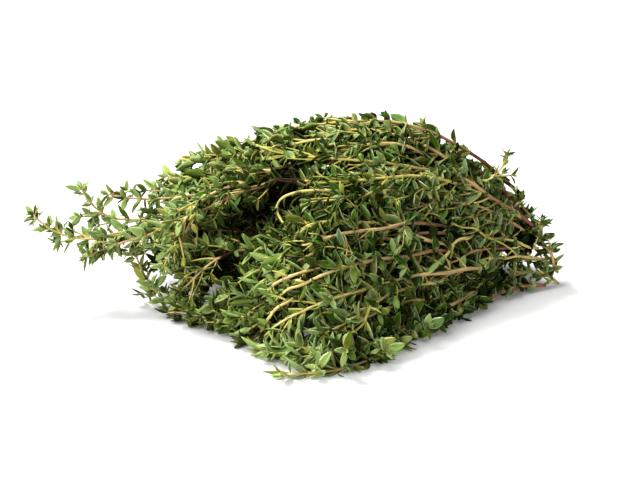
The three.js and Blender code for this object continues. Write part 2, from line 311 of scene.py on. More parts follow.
    def settled(self) -> dict[str, np.ndarray]:
        """Samples every route and eases the stems apart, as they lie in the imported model.

        Returns:
            Each node's stem as an array of points. A route is the cubic through its four points.
            In each round, samples of two stems closer than the clearance push each other away by a
            share of what they lack, the pushes are evened along each stem, and none goes under the
            table.
        """
        routes = self.routes()
        a = 3 * np.linspace(0, 1, self.samples)
        weights = np.stack([
            -(a - 1) * (a - 2) * (a - 3) / 6,
            a * (a - 2) * (a - 3) / 2,
            -a * (a - 1) * (a - 3) / 2,
            a * (a - 1) * (a - 2) / 6,
        ], axis=1)
        stems = np.einsum("sk,nkc->nsc", weights, np.array(list(routes.values()), dtype=float))
        stems += np.array(self.centring)
        owner = np.repeat(np.arange(len(stems)), self.samples)
        apart = owner[:, None] < owner[None, :]
        lowest = np.linspace(self.butt_radius, self.tip_radius, self.samples) + self.floor_gap
        for _ in range(self.rounds):
            flat = stems.reshape(-1, 3)
            square = (flat ** 2).sum(axis=1)
            gap2 = square[:, None] + square[None, :] - 2 * flat @ flat.T
            first, second = np.nonzero(apart & (gap2 < self.clearance ** 2))
            between = flat[first] - flat[second]
            distance = np.linalg.norm(between, axis=1)
            share = self.step * (self.clearance - distance).clip(0) / distance.clip(self.nearest)
            push = np.zeros_like(flat)
            np.add.at(push, first, between * share[:, None])
            np.add.at(push, second, -between * share[:, None])
            push = push.reshape(stems.shape)
            for _ in range(self.evenings):
                padded = np.concatenate([push[:, :1], push, push[:, -1:]], axis=1)
                push = (2 * push + padded[:, :-2] + padded[:, 2:]) / 4
            stems = stems + push
            stems[..., 2] = np.maximum(stems[..., 2], lowest)
        return dict(zip(routes, stems))


def smooth(stem: np.ndarray, steps: int = 4) -> np.ndarray:
    """A stem's samples with `steps` to each interval, by a Catmull-Rom curve."""
    ends = [2 * stem[0] - stem[1]], [2 * stem[-1] - stem[-2]]
    p = np.concatenate([ends[0], stem, ends[1]])
    t = np.arange(steps)[None, :, None] / steps
    p0, p1, p2, p3 = (p[k:len(p) - 3 + k, None, :] for k in range(4))
    curve = 0.5 * (2 * p1 + (p2 - p0) * t + (2 * p0 - 5 * p1 + 4 * p2 - p3) * t ** 2
                   + (3 * p1 - p0 - 3 * p2 + p3) * t ** 3)
    return np.concatenate([curve.reshape(-1, 3), stem[-1:]])


@dataclass(frozen=True)
class Comb:
    """Thins the leaves that lie over open stems, so that these stay in sight from the front.

    `points` holds samples of the open stretches of stems and `owner` the number of the sprig of
    each, `way` the way that they are seen from, `depth` how far over a stem a leaf is still combed
    away and `gap` how far beside it.
    """

    points: np.ndarray
    owner: np.ndarray
    way: Triple = (0.0, -0.91, 0.41)
    depth: Pair = (0.6, 14.0)
    gap: float = 2.4

    @classmethod
    def over(cls, stems: list[np.ndarray], habits: list["Habit"], cycles: float = 2.5) -> "Comb":
        """A comb for the open stretches of the stems.

        Args:
            stems: Every stem.
            habits: Their habits.
            cycles: Number of stretches along a stem, each with its open and its covered part.

        Returns:
            The comb. A place is open where a sine along the stem, which starts elsewhere on each
            stem, is over the level that it passes for the habit's `open_share` of its run.
        """
        points, owner = [], []
        for number, (stem, habit) in enumerate(zip(stems, habits)):
            line = smooth(stem)
            share = np.linspace(0, 1, len(line))
            wave = np.sin(2 * np.pi * (cycles * share + GOLDEN * number))
            is_open = (wave > math.cos(math.pi * habit.open_share)) & (share > habit.open_from)
            points.append(line[is_open])
            owner.append(np.full(is_open.sum(), number))
        return cls(np.concatenate(points), np.concatenate(owner))

    def covers(self, middles: np.ndarray, number: int) -> np.ndarray:
        """Whether each leaf of a sprig, by its middle, lies over an open stem of another."""
        way = unit(np.array(self.way))
        height = middles @ way
        flat = middles - height[:, None] * way
        stem_height = self.points @ way
        stem_flat = self.points - stem_height[:, None] * way
        over = height[:, None] - stem_height[None, :]
        gap2 = ((flat ** 2).sum(axis=1)[:, None] + (stem_flat ** 2).sum(axis=1)[None, :]
                - 2 * flat @ stem_flat.T)
        near = (over > self.depth[0]) & (over < self.depth[1]) & (gap2 < self.gap ** 2)
        return (near & (self.owner != number)).any(axis=1)


# ---- growing -------------------------------------------------------------------------------------


@dataclass
class Stalk:
    """The middle line of a stem or shoot, with its radius and ripeness from foot to tip.

    `ripeness` goes from 0, young and green, to 1, old and woody. The line runs from the share
    `place` of the sprig's length over the share `reach`. `flat` is the direction that it strays
    from least.
    """

    points: np.ndarray
    radii: Pair
    ripeness: Pair
    place: float = 0.0
    reach: float = 1.0
    along: np.ndarray = field(init=False)
    places: np.ndarray = field(init=False)
    flat: np.ndarray = field(init=False)

    def __post_init__(self) -> None:
        """Works out the headings, the points' distances from the foot and the flat direction."""
        self.along = unit(np.gradient(self.points, axis=0))
        steps = np.linalg.norm(np.diff(self.points, axis=0), axis=1)
        self.places = np.concatenate([[0.0], np.cumsum(steps)])
        self.flat = np.linalg.svd(self.along)[2][-1]

    @property
    def length(self) -> float:
        """The length of the line."""
        return float(self.places[-1])

    def read(self, table: np.ndarray, at: np.ndarray) -> np.ndarray:
        """Rows of a table kept per point, read at distances from the foot."""
        return np.stack([np.interp(at, self.places, table[:, k]) for k in range(3)], axis=-1)

    def frame_at(self, at: np.ndarray) -> tuple[np.ndarray, np.ndarray, np.ndarray, np.ndarray]:
        """Points, headings, sides and rises at distances from the foot.

        A side is square to the heading and to `flat`, and a rise is square to both.
        """
        along = unit(self.read(self.along, at))
        side = unit(np.cross(along, self.flat))
        return self.read(self.points, at), along, side, np.cross(along, side)

    def share(self, at: np.ndarray) -> np.ndarray:
        """Distances from the foot as shares of the length."""
        return np.asarray(at) / self.length

    def place_at(self, at: np.ndarray) -> np.ndarray:
        """Distances from the foot as places along the sprig."""
        return self.place + self.reach * self.share(at)


@dataclass
class Leaves:
    """A batch of leaves, one row of each array to a leaf.

    A leaf stands at `foot` on a line that heads `along`, reaches away in direction `out` by the
    angle `spread` from the line, and curls back by the angle `curl` over its length. Its upper side
    turns part of the way towards `face`. `slim` is its width as a share of its length, `fold` the
    angle of its halves and `twist` its turn about itself. `hue` and `shade` choose its cell of the
    leaf colours, from old to young and from dark to light.
    """

    foot: np.ndarray
    along: np.ndarray
    out: np.ndarray
    face: np.ndarray
    spread: np.ndarray
    length: np.ndarray
    slim: np.ndarray
    curl: np.ndarray
    fold: np.ndarray
    twist: np.ndarray
    hue: np.ndarray
    shade: np.ndarray

    @classmethod
    def join(cls, batches: list["Leaves"]) -> "Leaves":
        """One batch of all the leaves of several."""
        return cls(*[np.concatenate([getattr(b, f.name) for b in batches]) for f in fields(cls)])

    def pick(self, chosen: np.ndarray) -> "Leaves":
        """The chosen leaves only."""
        return Leaves(*[getattr(self, f.name)[chosen] for f in fields(self)])


@dataclass(frozen=True)
class LeafColours:
    """Layout of the leaf and stem colours on the unit square that every piece's UV map reads.

    Leaves fill `columns` by `rows` cells under the height `stem_from`, a leaf's upper face in the
    left half of its cell and its under face in the right half. Stems fill the band above, with
    ripeness across it and the turn round the stem up it. Both keep off the edges by `foot_at`.
    """

    columns: int = 8
    rows: int = 8
    stem_from: float = 0.84
    face_width: float = 0.40
    upper_at: float = 0.06
    under_at: float = 0.54
    foot_at: float = 0.06
    face_height: float = 0.88
    stem_ends: Pair = (0.01, 0.99)
    pole_turns: Triple = (0.5, 0.45, 0.55)

    @property
    def cell_height(self) -> float:
        """Height of one leaf cell."""
        return self.stem_from / self.rows


COLOURS = LeafColours()


class LeafCut:
    """A leaf's grid: stations along it, points across it, and the faces that close it.

    The upper skin has a point at the foot, one row of points for each station and a point at the
    tip. The under skin shares the margins and has a line of its own under the midrib.
    """

    def __init__(self, stations: tuple[float, ...], across: tuple[float, ...]) -> None:
        """Numbers the points and lists the faces.

        Args:
            stations: Places along the leaf, between 0 at the foot and 1 at the tip.
            across: Places across it, from -1 to 1, with 0 at the midrib.
        """
        width, count = len(across), len(stations)
        self.u = np.concatenate([[0.0], np.repeat(stations, width), stations, [1.0]])
        self.v = np.concatenate([[0.0], np.tile(across, count), np.zeros(count), [0.0]])
        self.is_under = np.zeros(len(self.u), dtype=bool)
        self.is_under[1 + width * count:-1] = True
        self.faces: list[list[int]] = []
        self.corners: list[list[tuple[float, float, bool]]] = []
        tip = len(self.u) - 1
        for k in range(count + 1):
            low = [1 + width * (k - 1) + j for j in range(width)]
            high = [1 + width * k + j for j in range(width)]
            low_rib, high_rib = width * count + k, width * count + k + 1
            for j in range(width - 1):
                self.add_face(k, count, (low[j], low[j + 1]), (high[j], high[j + 1]), tip, False)
            self.add_face(k, count, (low_rib, low[0]), (high_rib, high[0]), tip, True)
            self.add_face(k, count, (low[-1], low_rib), (high[-1], high_rib), tip, True)

    def add_face(self, k: int, count: int, low: tuple[int, int], high: tuple[int, int],
                 tip: int, is_under: bool) -> None:
        """Adds one face between two stations, or a triangle at the foot or the tip.

        Args:
            k: Number of the stretch, from 0 at the foot.
            count: Number of stations.
            low: The two points nearer the foot, in order across the face's own outside.
            high: The two points nearer the tip.
            tip: The point at the tip.
            is_under: Whether the face is on the under skin.
        """
        if k == 0:
            points = [0, high[0], high[1]]
        elif k == count:
            points = [low[0], tip, low[1]]
        else:
            points = [low[0], high[0], high[1], low[1]]
        middle = float(np.mean([self.v[p] for p in points if p not in (0, tip)]))
        self.faces.append(points)
        self.corners.append([
            (self.u[p], middle if p in (0, tip) else self.v[p], is_under) for p in points
        ])

    def corner_table(self) -> np.ndarray:
        """Rows of u, v and under or upper, one for each corner of each face in turn."""
        return np.array([corner for face in self.corners for corner in face], dtype=float)


@dataclass(frozen=True)
class LeafForm:
    """The shape of a thyme leaf: half width, cross-section and thickness as shares of its size."""

    round_power: float = 0.95
    middle_power: float = 0.88
    stalk_share: float = 0.2
    stalk_width: float = 0.35
    least_curl: float = 0.02
    cushion: float = 0.20
    groove: float = 0.09
    belly: float = 0.22

    def half_width(self, u: np.ndarray) -> np.ndarray:
        """Half width along the leaf as a share of its widest.

        One less the square of (2 u^middle_power - 1), to the power round_power, times a smooth rise
        from `stalk_width` to 1 over the first `stalk_share` of the length, which makes a stalk.
        """
        bell = (1 - (2 * u ** self.middle_power - 1) ** 2).clip(0) ** self.round_power
        rise = (u / self.stalk_share).clip(0, 1)
        step = rise * rise * (3 - 2 * rise)
        return bell * blend((self.stalk_width, 1.0), step)

    def points(self, cut: LeafCut, leaves: Leaves) -> np.ndarray:
        """Places every point of every leaf.

        The midrib starts at the angle `spread` from its line and bends back by `curl`: at the share
        u it has gone sin(c u) / c ahead and (1 - cos(c u)) / c back, times the length. Across it a
        point goes v times the half width sideways and rises by the fold, two cushions with a groove
        between them on the upper skin, and the belly below the midrib on the under skin.

        Args:
            cut: The leaf's grid.
            leaves: The batch.

        Returns:
            An array of leaves by points by three.
        """
        spread = leaves.spread[:, None]
        ahead = np.cos(spread) * leaves.along + np.sin(spread) * leaves.out
        up = np.sin(spread) * leaves.along - np.cos(spread) * leaves.out
        level = leaves.face - (leaves.face * ahead).sum(axis=1, keepdims=True) * ahead
        up = unit(up + level)
        side = np.cross(up, ahead)
        turn = leaves.twist[:, None]
        up, side = np.cos(turn) * up + np.sin(turn) * side, np.cos(turn) * side - np.sin(turn) * up

        is_flat = np.abs(leaves.curl) < self.least_curl
        curl = np.where(is_flat, self.least_curl, leaves.curl)[:, None]
        bend = curl * cut.u
        length, half = leaves.length[:, None], (leaves.length * leaves.slim / 2)[:, None]
        forward, back = length * np.sin(bend) / curl, length * (1 - np.cos(bend)) / curl
        width = half * self.half_width(cut.u)
        reach = np.abs(cut.v)
        cushion = self.cushion * (1 - (2 * reach - 1) ** 2) + self.groove * (1 - reach)
        upper = width * (leaves.fold[:, None] * reach + np.where(cut.is_under, 0, cushion))
        lift = upper - np.where(cut.is_under, width * self.belly, 0)
        wide = width * cut.v * np.cos(leaves.fold[:, None])
        rise = lift * np.cos(bend) - back
        return (
            leaves.foot[:, None, :]
            + (forward + lift * np.sin(bend))[..., None] * ahead[:, None, :]
            + rise[..., None] * up[:, None, :]
            + wide[..., None] * side[:, None, :]
        )


FINE_CUT = LeafCut((0.14, 0.36, 0.62, 0.86), (-1.0, -0.5, 0.0, 0.5, 1.0))
MIDDLE_CUT = LeafCut((0.16, 0.45, 0.8), (-1.0, 0.0, 1.0))
PLAIN_CUT = LeafCut((0.28, 0.68), (-1.0, 0.0, 1.0))
FORM = LeafForm()


@dataclass
class Skin:
    """The mesh of one piece: points, faces as corner lists, and the UV place of each corner."""

    points: list[np.ndarray] = field(default_factory=list)
    corners: list[np.ndarray] = field(default_factory=list)
    sizes: list[np.ndarray] = field(default_factory=list)
    places: list[np.ndarray] = field(default_factory=list)
    count: int = 0

    def add(self, points: np.ndarray, corners: np.ndarray, sizes: np.ndarray,
            places: np.ndarray) -> None:
        """Adds points with the faces on them.

        Args:
            points: Points in millimetres.
            corners: Point numbers, face after face, counted from the first of `points`.
            sizes: Number of corners of each face.
            places: UV place of each corner.
        """
        self.points.append(points)
        self.corners.append(corners + self.count)
        self.sizes.append(sizes)
        self.places.append(places)
        self.count += len(points)

    def add_leaves(self, cut: LeafCut, leaves: Leaves) -> None:
        """Adds a batch of leaves, each in the cell of the colours that its hue and shade choose."""
        number = len(leaves.foot)
        if number == 0:
            return
        points = FORM.points(cut, leaves)
        faces = np.concatenate([np.array(face) for face in cut.faces])
        corners = (faces[None, :] + len(cut.u) * np.arange(number)[:, None]).ravel()
        sizes = np.tile([len(face) for face in cut.faces], number)
        table = cut.corner_table()
        column = np.floor(leaves.hue.clip(0, 0.999) * COLOURS.columns)[:, None]
        row = np.floor(leaves.shade.clip(0, 0.999) * COLOURS.rows)[:, None]
        half = np.where(table[:, 2] > 0, COLOURS.under_at, COLOURS.upper_at)
        inner_x = half + COLOURS.face_width * (table[:, 1] + 1) / 2
        inner_y = COLOURS.foot_at + COLOURS.face_height * table[:, 0]
        across = (column + inner_x[None, :]) / COLOURS.columns
        height = (row + inner_y[None, :]) * COLOURS.cell_height
        places = np.stack([across.ravel(), height.ravel()], axis=1)
        self.add(points.reshape(-1, 3), corners, sizes, places)

    def add_stalk(self, stalk: Stalk, nodes: np.ndarray, form: "StalkForm", heap: Heap) -> None:
        """Adds the closed skin of a stem or shoot: a ring at each station and a point at each end.

        The radius is a straight taper, times 1 + swelling by a bell at each node, times
        1 + square cos 4a round the ring, which makes the section a soft square.

        Args:
            stalk: The line.
            nodes: Distances of its nodes from its foot.
            form: How it is cut and swollen.
            heap: The heap, in whose hollows it is painted darkest, as painted shade.
        """
        stations = max(3, int(stalk.length / form.step) + 1)
        at = np.linspace(0, stalk.length, stations)
        centre, _, side, rise = stalk.frame_at(at)
        share = stalk.share(at)
        bells = np.exp(-((at[:, None] - nodes[None, :]) / form.node_reach) ** 2).sum(axis=1)
        radius = blend(stalk.radii, share) * (1 + form.swelling * bells.clip(0, 1))
        angle = 2 * np.pi * np.arange(form.sides) / form.sides
        ring = radius[:, None] * (1 + form.square * np.cos(4 * angle))[None, :]
        skin = (
            centre[:, None, :]
            + (ring * np.cos(angle))[..., None] * side[:, None, :]
            + (ring * np.sin(angle))[..., None] * rise[:, None, :]
        )
        points = np.concatenate([skin.reshape(-1, 3), centre[:1], centre[-1:]])
        row, column = np.meshgrid(np.arange(stations - 1), np.arange(form.sides), indexing="ij")
        after = (column + 1) % form.sides
        low, high = row * form.sides, (row + 1) * form.sides
        quads = np.stack([low + column, low + after, high + after, high + column], axis=-1)
        foot, tip = stations * form.sides, stations * form.sides + 1
        ends = np.arange(form.sides)
        next_end = (ends + 1) % form.sides
        top = (stations - 1) * form.sides
        foot_fan = np.stack([np.full_like(ends, foot), next_end, ends], axis=-1)
        tip_fan = np.stack([np.full_like(ends, tip), top + ends, top + next_end], axis=-1)
        corners = np.concatenate([quads.ravel(), foot_fan.ravel(), tip_fan.ravel()])
        sizes = np.concatenate([np.full(quads.shape[0] * quads.shape[1], 4),
                                np.full(2 * form.sides, 3)])
        # Painted shade: within a hollow the stem takes the darkest, ripest colour.
        ripe = np.where(heap.is_hollow(centre), 1.0, blend(stalk.ripeness, share))
        ripe = ripe.clip(*COLOURS.stem_ends)
        turn = column / form.sides
        turn_after = (column + 1) / form.sides
        quad_x = np.stack([ripe[row], ripe[row], ripe[row + 1], ripe[row + 1]], axis=-1)
        quad_y = np.stack([turn, turn_after, turn_after, turn], axis=-1)
        fan_y = np.tile(COLOURS.pole_turns, form.sides)
        wood_x = np.full(3 * form.sides, ripe[0])
        bud_x = np.full(3 * form.sides, ripe[-1])
        place_x = np.concatenate([quad_x.ravel(), wood_x, bud_x])
        place_y = np.concatenate([quad_y.ravel(), fan_y, fan_y])
        inner_y = COLOURS.foot_at + COLOURS.face_height * place_y
        band = 1 - COLOURS.stem_from
        places = np.stack([place_x, COLOURS.stem_from + band * inner_y], axis=1)
        self.add(points, corners, sizes, places)

    def to_object(self, name: str, material: bpy.types.Material) -> bpy.types.Object:
        """Makes the piece's object, with smooth faces and the colours' UV map.

        Args:
            name: Name of the piece.
            material: Its finish.

        Returns:
            The object, at the origin and linked to the scene.
        """
        points = np.concatenate(self.points)
        corners = np.concatenate(self.corners).astype(np.int32)
        sizes = np.concatenate(self.sizes).astype(np.int32)
        starts = np.concatenate([[0], np.cumsum(sizes)[:-1]]).astype(np.int32)
        mesh = bpy.data.meshes.new(name)
        mesh.vertices.add(len(points))
        mesh.vertices.foreach_set("co", (points / METRE).astype(np.float32).ravel())
        mesh.loops.add(len(corners))
        mesh.loops.foreach_set("vertex_index", corners)
        mesh.polygons.add(len(sizes))
        mesh.polygons.foreach_set("loop_start", starts)
        mesh.polygons.foreach_set("use_smooth", np.ones(len(sizes), dtype=bool))
        uv_map = mesh.uv_layers.new(name=UV_NAME)
        uv_map.data.foreach_set("uv", np.concatenate(self.places).astype(np.float32).ravel())
        mesh.update()
        mesh.validate()
        mesh.materials.append(material)
        piece = bpy.data.objects.new(name, mesh)
        bpy.context.scene.collection.objects.link(piece)
        return piece


@dataclass(frozen=True)
class StalkForm:
    """How a stem or shoot is cut into rings, how square it is and how its nodes swell."""

    step: float
    sides: int
    square: float = 0.07
    swelling: float = 0.3
    node_reach: float = 0.9


@dataclass(frozen=True)
class Habit:
    """How the sprigs of one part of the heap grow.

    Lengths are in millimetres, angles in radians, and a pair of numbers runs from foot to tip, but
    `shoot_bare` and `shoot_lean` are ranges. The share `bare` has no leaves. Axils hold up to
    `tiers` pairs of small leaves, and the share `shoot_share` of them a shoot. `facing` turns upper
    sides out of the heap, while `press`, `lie` and `shoot_lie` lay leaves and shoots along it.
    `loss` is the share of outward leaves that are missing, and `combed` that of leaves over the
    open stretches of stems, which take up `open_share` of a stem past `open_from`. `hue` and
    `shade` are those of `Leaves`, and `fresh` is how much more hue young leaves have. An `is_bound`
    sprig keeps within the heap, and an `is_fine` one has finely cut leaves.
    """

    ripeness: Pair = (0.72, 0.25)
    stem_radii: Pair = (0.88, 0.42)
    bare: float = 0.03
    node_gap: Pair = (11.0, 5.0)
    leaf: Pair = (9.4, 8.0)
    spread: Pair = (0.95, 0.7)
    tiers: int = 2
    least_tiers: int = 0
    shoot_share: float = 0.6
    shoot_length: Pair = (24.0, 10.0)
    shoot_gap: Pair = (6.0, 3.8)
    shoot_leaf: Pair = (8.4, 6.8)
    shoot_spread: float = 0.7
    shoot_bare: Pair = (2.0, 4.5)
    shoot_lean: Pair = (0.6, 1.0)
    facing: float = 1.2
    press: float = 0.35
    lie: float = 0.7
    shoot_lie: float = 0.2
    loss: Pair = (0.15, 0.15)
    combed: float = 0.85
    hue: Pair = (0.42, 0.42)
    fresh: float = 0.5
    shade: Pair = (0.5, 0.5)
    open_share: float = 0.4
    open_from: float = 0.25
    is_bound: bool = True
    is_fine: bool = True


# The parts' `shade` pairs, and the sprigs' own below, are partly the leaves' own lightness and
# partly painted light and shade: raised where the lamps leave sprigs dim, as at the nose and the
# right end, and lowered where the heap is to look shaded, as in the valley on the left and near the
# hollows.
HABITS = {
    Part.CREST: Habit(
        ripeness=(1, 0.22), stem_radii=(0.84, 0.4), node_gap=(7.5, 6), shoot_share=0.7,
        shoot_length=(34, 12), shoot_bare=(3, 11), shoot_lean=(0.3, 0.7), facing=0.3, press=0.6,
        loss=(0, 0.95), hue=(0.34, 0.34), shade=(0.9, 0.62), open_share=0.5, open_from=0.35),
    Part.TAIL: Habit(
        ripeness=(0.8, 0.5), stem_radii=(0.8, 0.36), node_gap=(9.5, 5.2), leaf=(7.8, 6.4),
        least_tiers=1, shoot_share=0.45, shoot_length=(20, 8), shoot_leaf=(7, 5.6), facing=1,
        lie=0.5, hue=(0.46, 0.72), shade=(0.86, 1), open_share=0.3, is_bound=False),
    Part.FRONT: Habit(
        ripeness=(0.6, 0.34), node_gap=(8.5, 5.5), leaf=(7.4, 9.4), least_tiers=1,
        shoot_share=0.55, shoot_length=(26, 12), shoot_lean=(0.4, 1.35), facing=0.3,
        loss=(0.3, 0), hue=(0.25, 0.58), shade=(0.56, 0.7), open_share=0.14, open_from=0.2),
    Part.RIGHT: Habit(
        ripeness=(0.6, 0.4), stem_radii=(0.68, 0.36), bare=0, node_gap=(7.5, 4.5), leaf=(6.8, 6),
        shoot_share=1, shoot_length=(24, 11), shoot_leaf=(6.4, 5.4), shoot_bare=(6, 13),
        facing=0.3, lie=0.4, shoot_lie=0.8, loss=(0.3, 0.3), hue=(0.24, 0.24), fresh=0.25,
        shade=(0.92, 0.92), open_share=0.55),
    Part.BACK: Habit(
        ripeness=(0.76, 0.34), node_gap=(9, 4.5), shoot_share=0.9, loss=(0.1, 0.1),
        hue=(0.36, 0.36), fresh=0.35, shade=(0.48, 0.66), open_share=0, is_fine=False),
    # Painted shade: the core's leaves take the darkest colours, so that the inside of the heap
    # shows dark between the outer leaves.
    Part.CORE: Habit(
        ripeness=(0.62, 0.45), bare=0, node_gap=(9, 5), shoot_share=0.9, lie=0.3, loss=(0, 0),
        hue=(0.05, 0.05), shade=(0, 0), open_share=0, is_fine=False),
}

# Habits that several single sprigs share, and what each sprig does differently from its part.
CLOSE_LEAVED = dict(lie=0, node_gap=(5, 6), shoot_share=0.9)
NOSE = dict(is_bound=False, leaf=(8.5, 10.5), shoot_leaf=(8, 8))
LOW_RIGHT = dict(loss=(0.1, 0.1), open_share=0, shoot_length=(11, 7), node_gap=(5.5, 4.5),
                 combed=0, lie=0.2, shade=(1, 0.9))
LONE_HABITS: dict[Part, dict[int, dict[str, object]]] = {
    Part.CREST: {
        1: dict(shade=(0.74, 0.5)),
        2: dict(ripeness=(0.8, 0.22), **CLOSE_LEAVED),
        3: dict(ripeness=(0.88, 0.22), shade=(1, 0.62), **CLOSE_LEAVED),
        4: dict(ripeness=(0.7, 0.22), shade=(1, 0.62), **CLOSE_LEAVED),
        5: dict(ripeness=(0.6, 0.22), shade=(1, 0.25), hue=(0.34, 0.25), **CLOSE_LEAVED),
        6: dict(ripeness=(0.5, 0.2), tiers=1, shoot_share=0, node_gap=(16, 4), leaf=(7, 5)),
        7: dict(loss=(0.5, 0.1), leaf=(9.8, 9), lie=0.2, press=0.35, shade=(0.9, 1),
                hue=(0.34, 0.7)),
        8: dict(shade=(0.7, 0.45)),
        9: dict(loss=(0.1, 0.1), shoot_share=0.8, leaf=(9.8, 9), lie=0.2, press=0.35),
    },
    Part.TAIL: {
        1: dict(facing=1.2, shoot_share=0.8, leaf=(9.4, 7), lie=0.2),
        5: dict(ripeness=(0.66, 0.45), shoot_share=1, bare=0, shade=(0.5, 1)),
        6: dict(shoot_share=0.9, shade=(0.5, 0.7), hue=(0.6, 0.85), shoot_length=(14, 7)),
        7: dict(shoot_share=0.9, shade=(0.5, 0.9)),
        8: dict(shoot_share=1, shade=(0.2, 0.2), hue=(0.6, 0.8), shoot_length=(14, 7),
                node_gap=(6.5, 4.2), lie=0.3),
        9: dict(facing=1.2, shoot_share=0.9, leaf=(9.4, 8), lie=0.2),
        10: dict(ripeness=(0.66, 0.45), shoot_share=1, facing=1.2, bare=0, shade=(0.55, 0.8),
                 hue=(0.56, 0.85)),
        11: dict(ripeness=(0.8, 0.5), shoot_share=1, facing=1.2, shade=(0.2, 0.5)),
    },
    Part.FRONT: {
        1: dict(ripeness=(0.84, 0.5), bare=0.6, shoot_share=0.3, shade=(0.4, 0.5)),
        2: dict(shade=(0.65, 0.4), ripeness=(0.74, 0.36)),
        3: dict(shade=(0.6, 0.5), ripeness=(0.82, 0.4)),
        4: dict(shoot_share=0.8, node_gap=(9, 5), shade=(0.56, 0.85)),
        5: dict(shoot_share=0.9, node_gap=(9, 5), shade=(1.1, 0.55), hue=(0.4, 0.6)),
        6: dict(shoot_share=0.9, node_gap=(9, 5), shade=(1, 0.65), hue=(0.4, 0.6)),
        7: dict(loss=(0.1, 0.3), shoot_share=1, combed=1, node_gap=(7, 4.5), shoot_length=(9, 9),
                shade=(0.1, 1.1), hue=(0.15, 0.95), fresh=0.25, **NOSE),
        8: dict(loss=(0, 0.8), shoot_share=0.8, combed=0, node_gap=(7, 6), shoot_length=(12, 9),
                shade=(0.3, 1.1), hue=(0.1, 1.1), open_share=1, open_from=0.45,
                stem_radii=(0.95, 0.7), fresh=0.3, **NOSE),
        9: dict(loss=(0.1, 0.1), shoot_share=0.8, shade=(0.4, 0.25), hue=(0.5, 0.7)),
        10: dict(loss=(0.1, 0.1), shoot_share=0.8, hue=(0.3, 0.4), fresh=0.25, shade=(0.5, 0.8),
                 shoot_length=(12, 8), lie=0.2),
        12: dict(loss=(0.1, 0.3), shoot_share=0.8, shade=(0.3, 0.5), hue=(0.4, 0.65)),
        13: dict(shade=(0.45, 0.25)),
        14: dict(loss=(0, 0), shoot_share=0.9, hue=(0.3, 0.4), fresh=0.25, shade=(0.4, 0.8),
                 shoot_length=(7, 7), combed=0, node_gap=(6, 5), ripeness=(0.9, 0.5), lie=0.2),
    },
    Part.RIGHT: {
        1: dict(is_bound=False, loss=(0, 0), ripeness=(0.8, 0.6), shoot_share=0.4,
                shoot_length=(12, 6), shoot_bare=(1, 3)),
        2: dict(ripeness=(0.5, 0.3), loss=(0.9, 0.9), shoot_share=0.6, shoot_bare=(8, 14)),
        3: dict(ripeness=(0.7, 0.6), loss=(0.8, 0.8), shoot_share=0.5, shade=(1.1, 1.1)),
        4: dict(ripeness=(0.6, 0.4), **LOW_RIGHT),
        5: dict(loss=(0, 0), open_share=0, shoot_length=(11, 6), is_bound=False, shoot_bare=(1, 3)),
        6: dict(ripeness=(0.5, 0.3), loss=(0.5, 0.5), shoot_share=0.9, shoot_bare=(8, 14)),
        7: dict(ripeness=(0.75, 0.5), **LOW_RIGHT),
        8: dict(ripeness=(0.66, 0.5), loss=(0.6, 0.6), shoot_share=0.7),
    },
    Part.BACK: {
        1: dict(shade=(0.65, 1), hue=(0.36, 0.6)),
    },
}


def habit_of(part: Part, number: int) -> Habit:
    """The habit of one sprig of a part."""
    return replace(HABITS[part], **LONE_HABITS.get(part, {}).get(number, {}))


@dataclass(frozen=True)
class Variety:
    """How leaves differ from each other and what thins them, alike on every sprig.

    `curl` and `fold` are the middle and the spread of their draws, other pairs are ranges, and
    single numbers are spreads. The `young_` values are the change from a grown leaf to one just
    unfolded, and the `tone_` values that of a leaf where the heap's tone is 1. Leaves whose foot is
    within `deep_reach` of a hollow are painted dark, as shade, and some are left out; those where
    the tone is under `sparse_tone` leave pockets.
    """

    node_gap: Pair = (0.8, 1.2)
    turn: float = 0.22
    facing: Pair = (0.3, 1.7)
    spread: float = 0.16
    length: Pair = (0.86, 1.2)
    slim: Pair = (0.38, 0.52)
    young_slim: float = -0.06
    curl: Pair = (0.45, 0.35)
    young_curl: float = -0.8
    fold: Pair = (0.12, 0.14)
    young_fold: float = 0.3
    twist: float = 0.25
    hue: float = 0.15
    tone_hue: float = 0.05
    shade: float = 0.3
    tone_shade: float = 0.25
    ripeness: float = 0.12
    bare: Pair = (1.0, 5.0)
    bunch_lean: Pair = (0.6, 1.0)
    deep_reach: float = 3.0
    # Painted shade: the hue of leaves near a hollow, which also take the darkest row.
    painted_shade_hue: float = 0.1
    deep_loss: float = 0.5
    sparse_tone: float = -0.6
    sparse_until: float = 0.8
    sparse_loss: float = 0.5


@dataclass(frozen=True)
class Tuft:
    """A cluster of small leaves, crossed pair over crossed pair.

    Each pair holds a measure of the lowest tier and its change from one tier to the next: height
    on the axis, size as a share of the tuft's leaf, angle from the axis, and youth. Each tier turns
    on by up to `turn` more than a quarter.
    """

    height: Pair
    size: Pair
    spread: Pair
    youth: Pair
    turn: float

    def measures(self, tier: int) -> tuple[float, float, float, float]:
        """Height, size, angle and youth of a tier."""
        return tuple(a + b * tier for a, b in (self.height, self.size, self.spread, self.youth))


BUNCH = Tuft((0.7, 1.1), (1.0, -0.22), (0.75, -0.18), (0.25, 0.25), 0.6)
ROSETTE = Tuft((-0.6, 0.5), (0.95, -0.24), (1.1, -0.3), (0.35, 0.3), 0.5)
ROSETTE_TIERS = 3


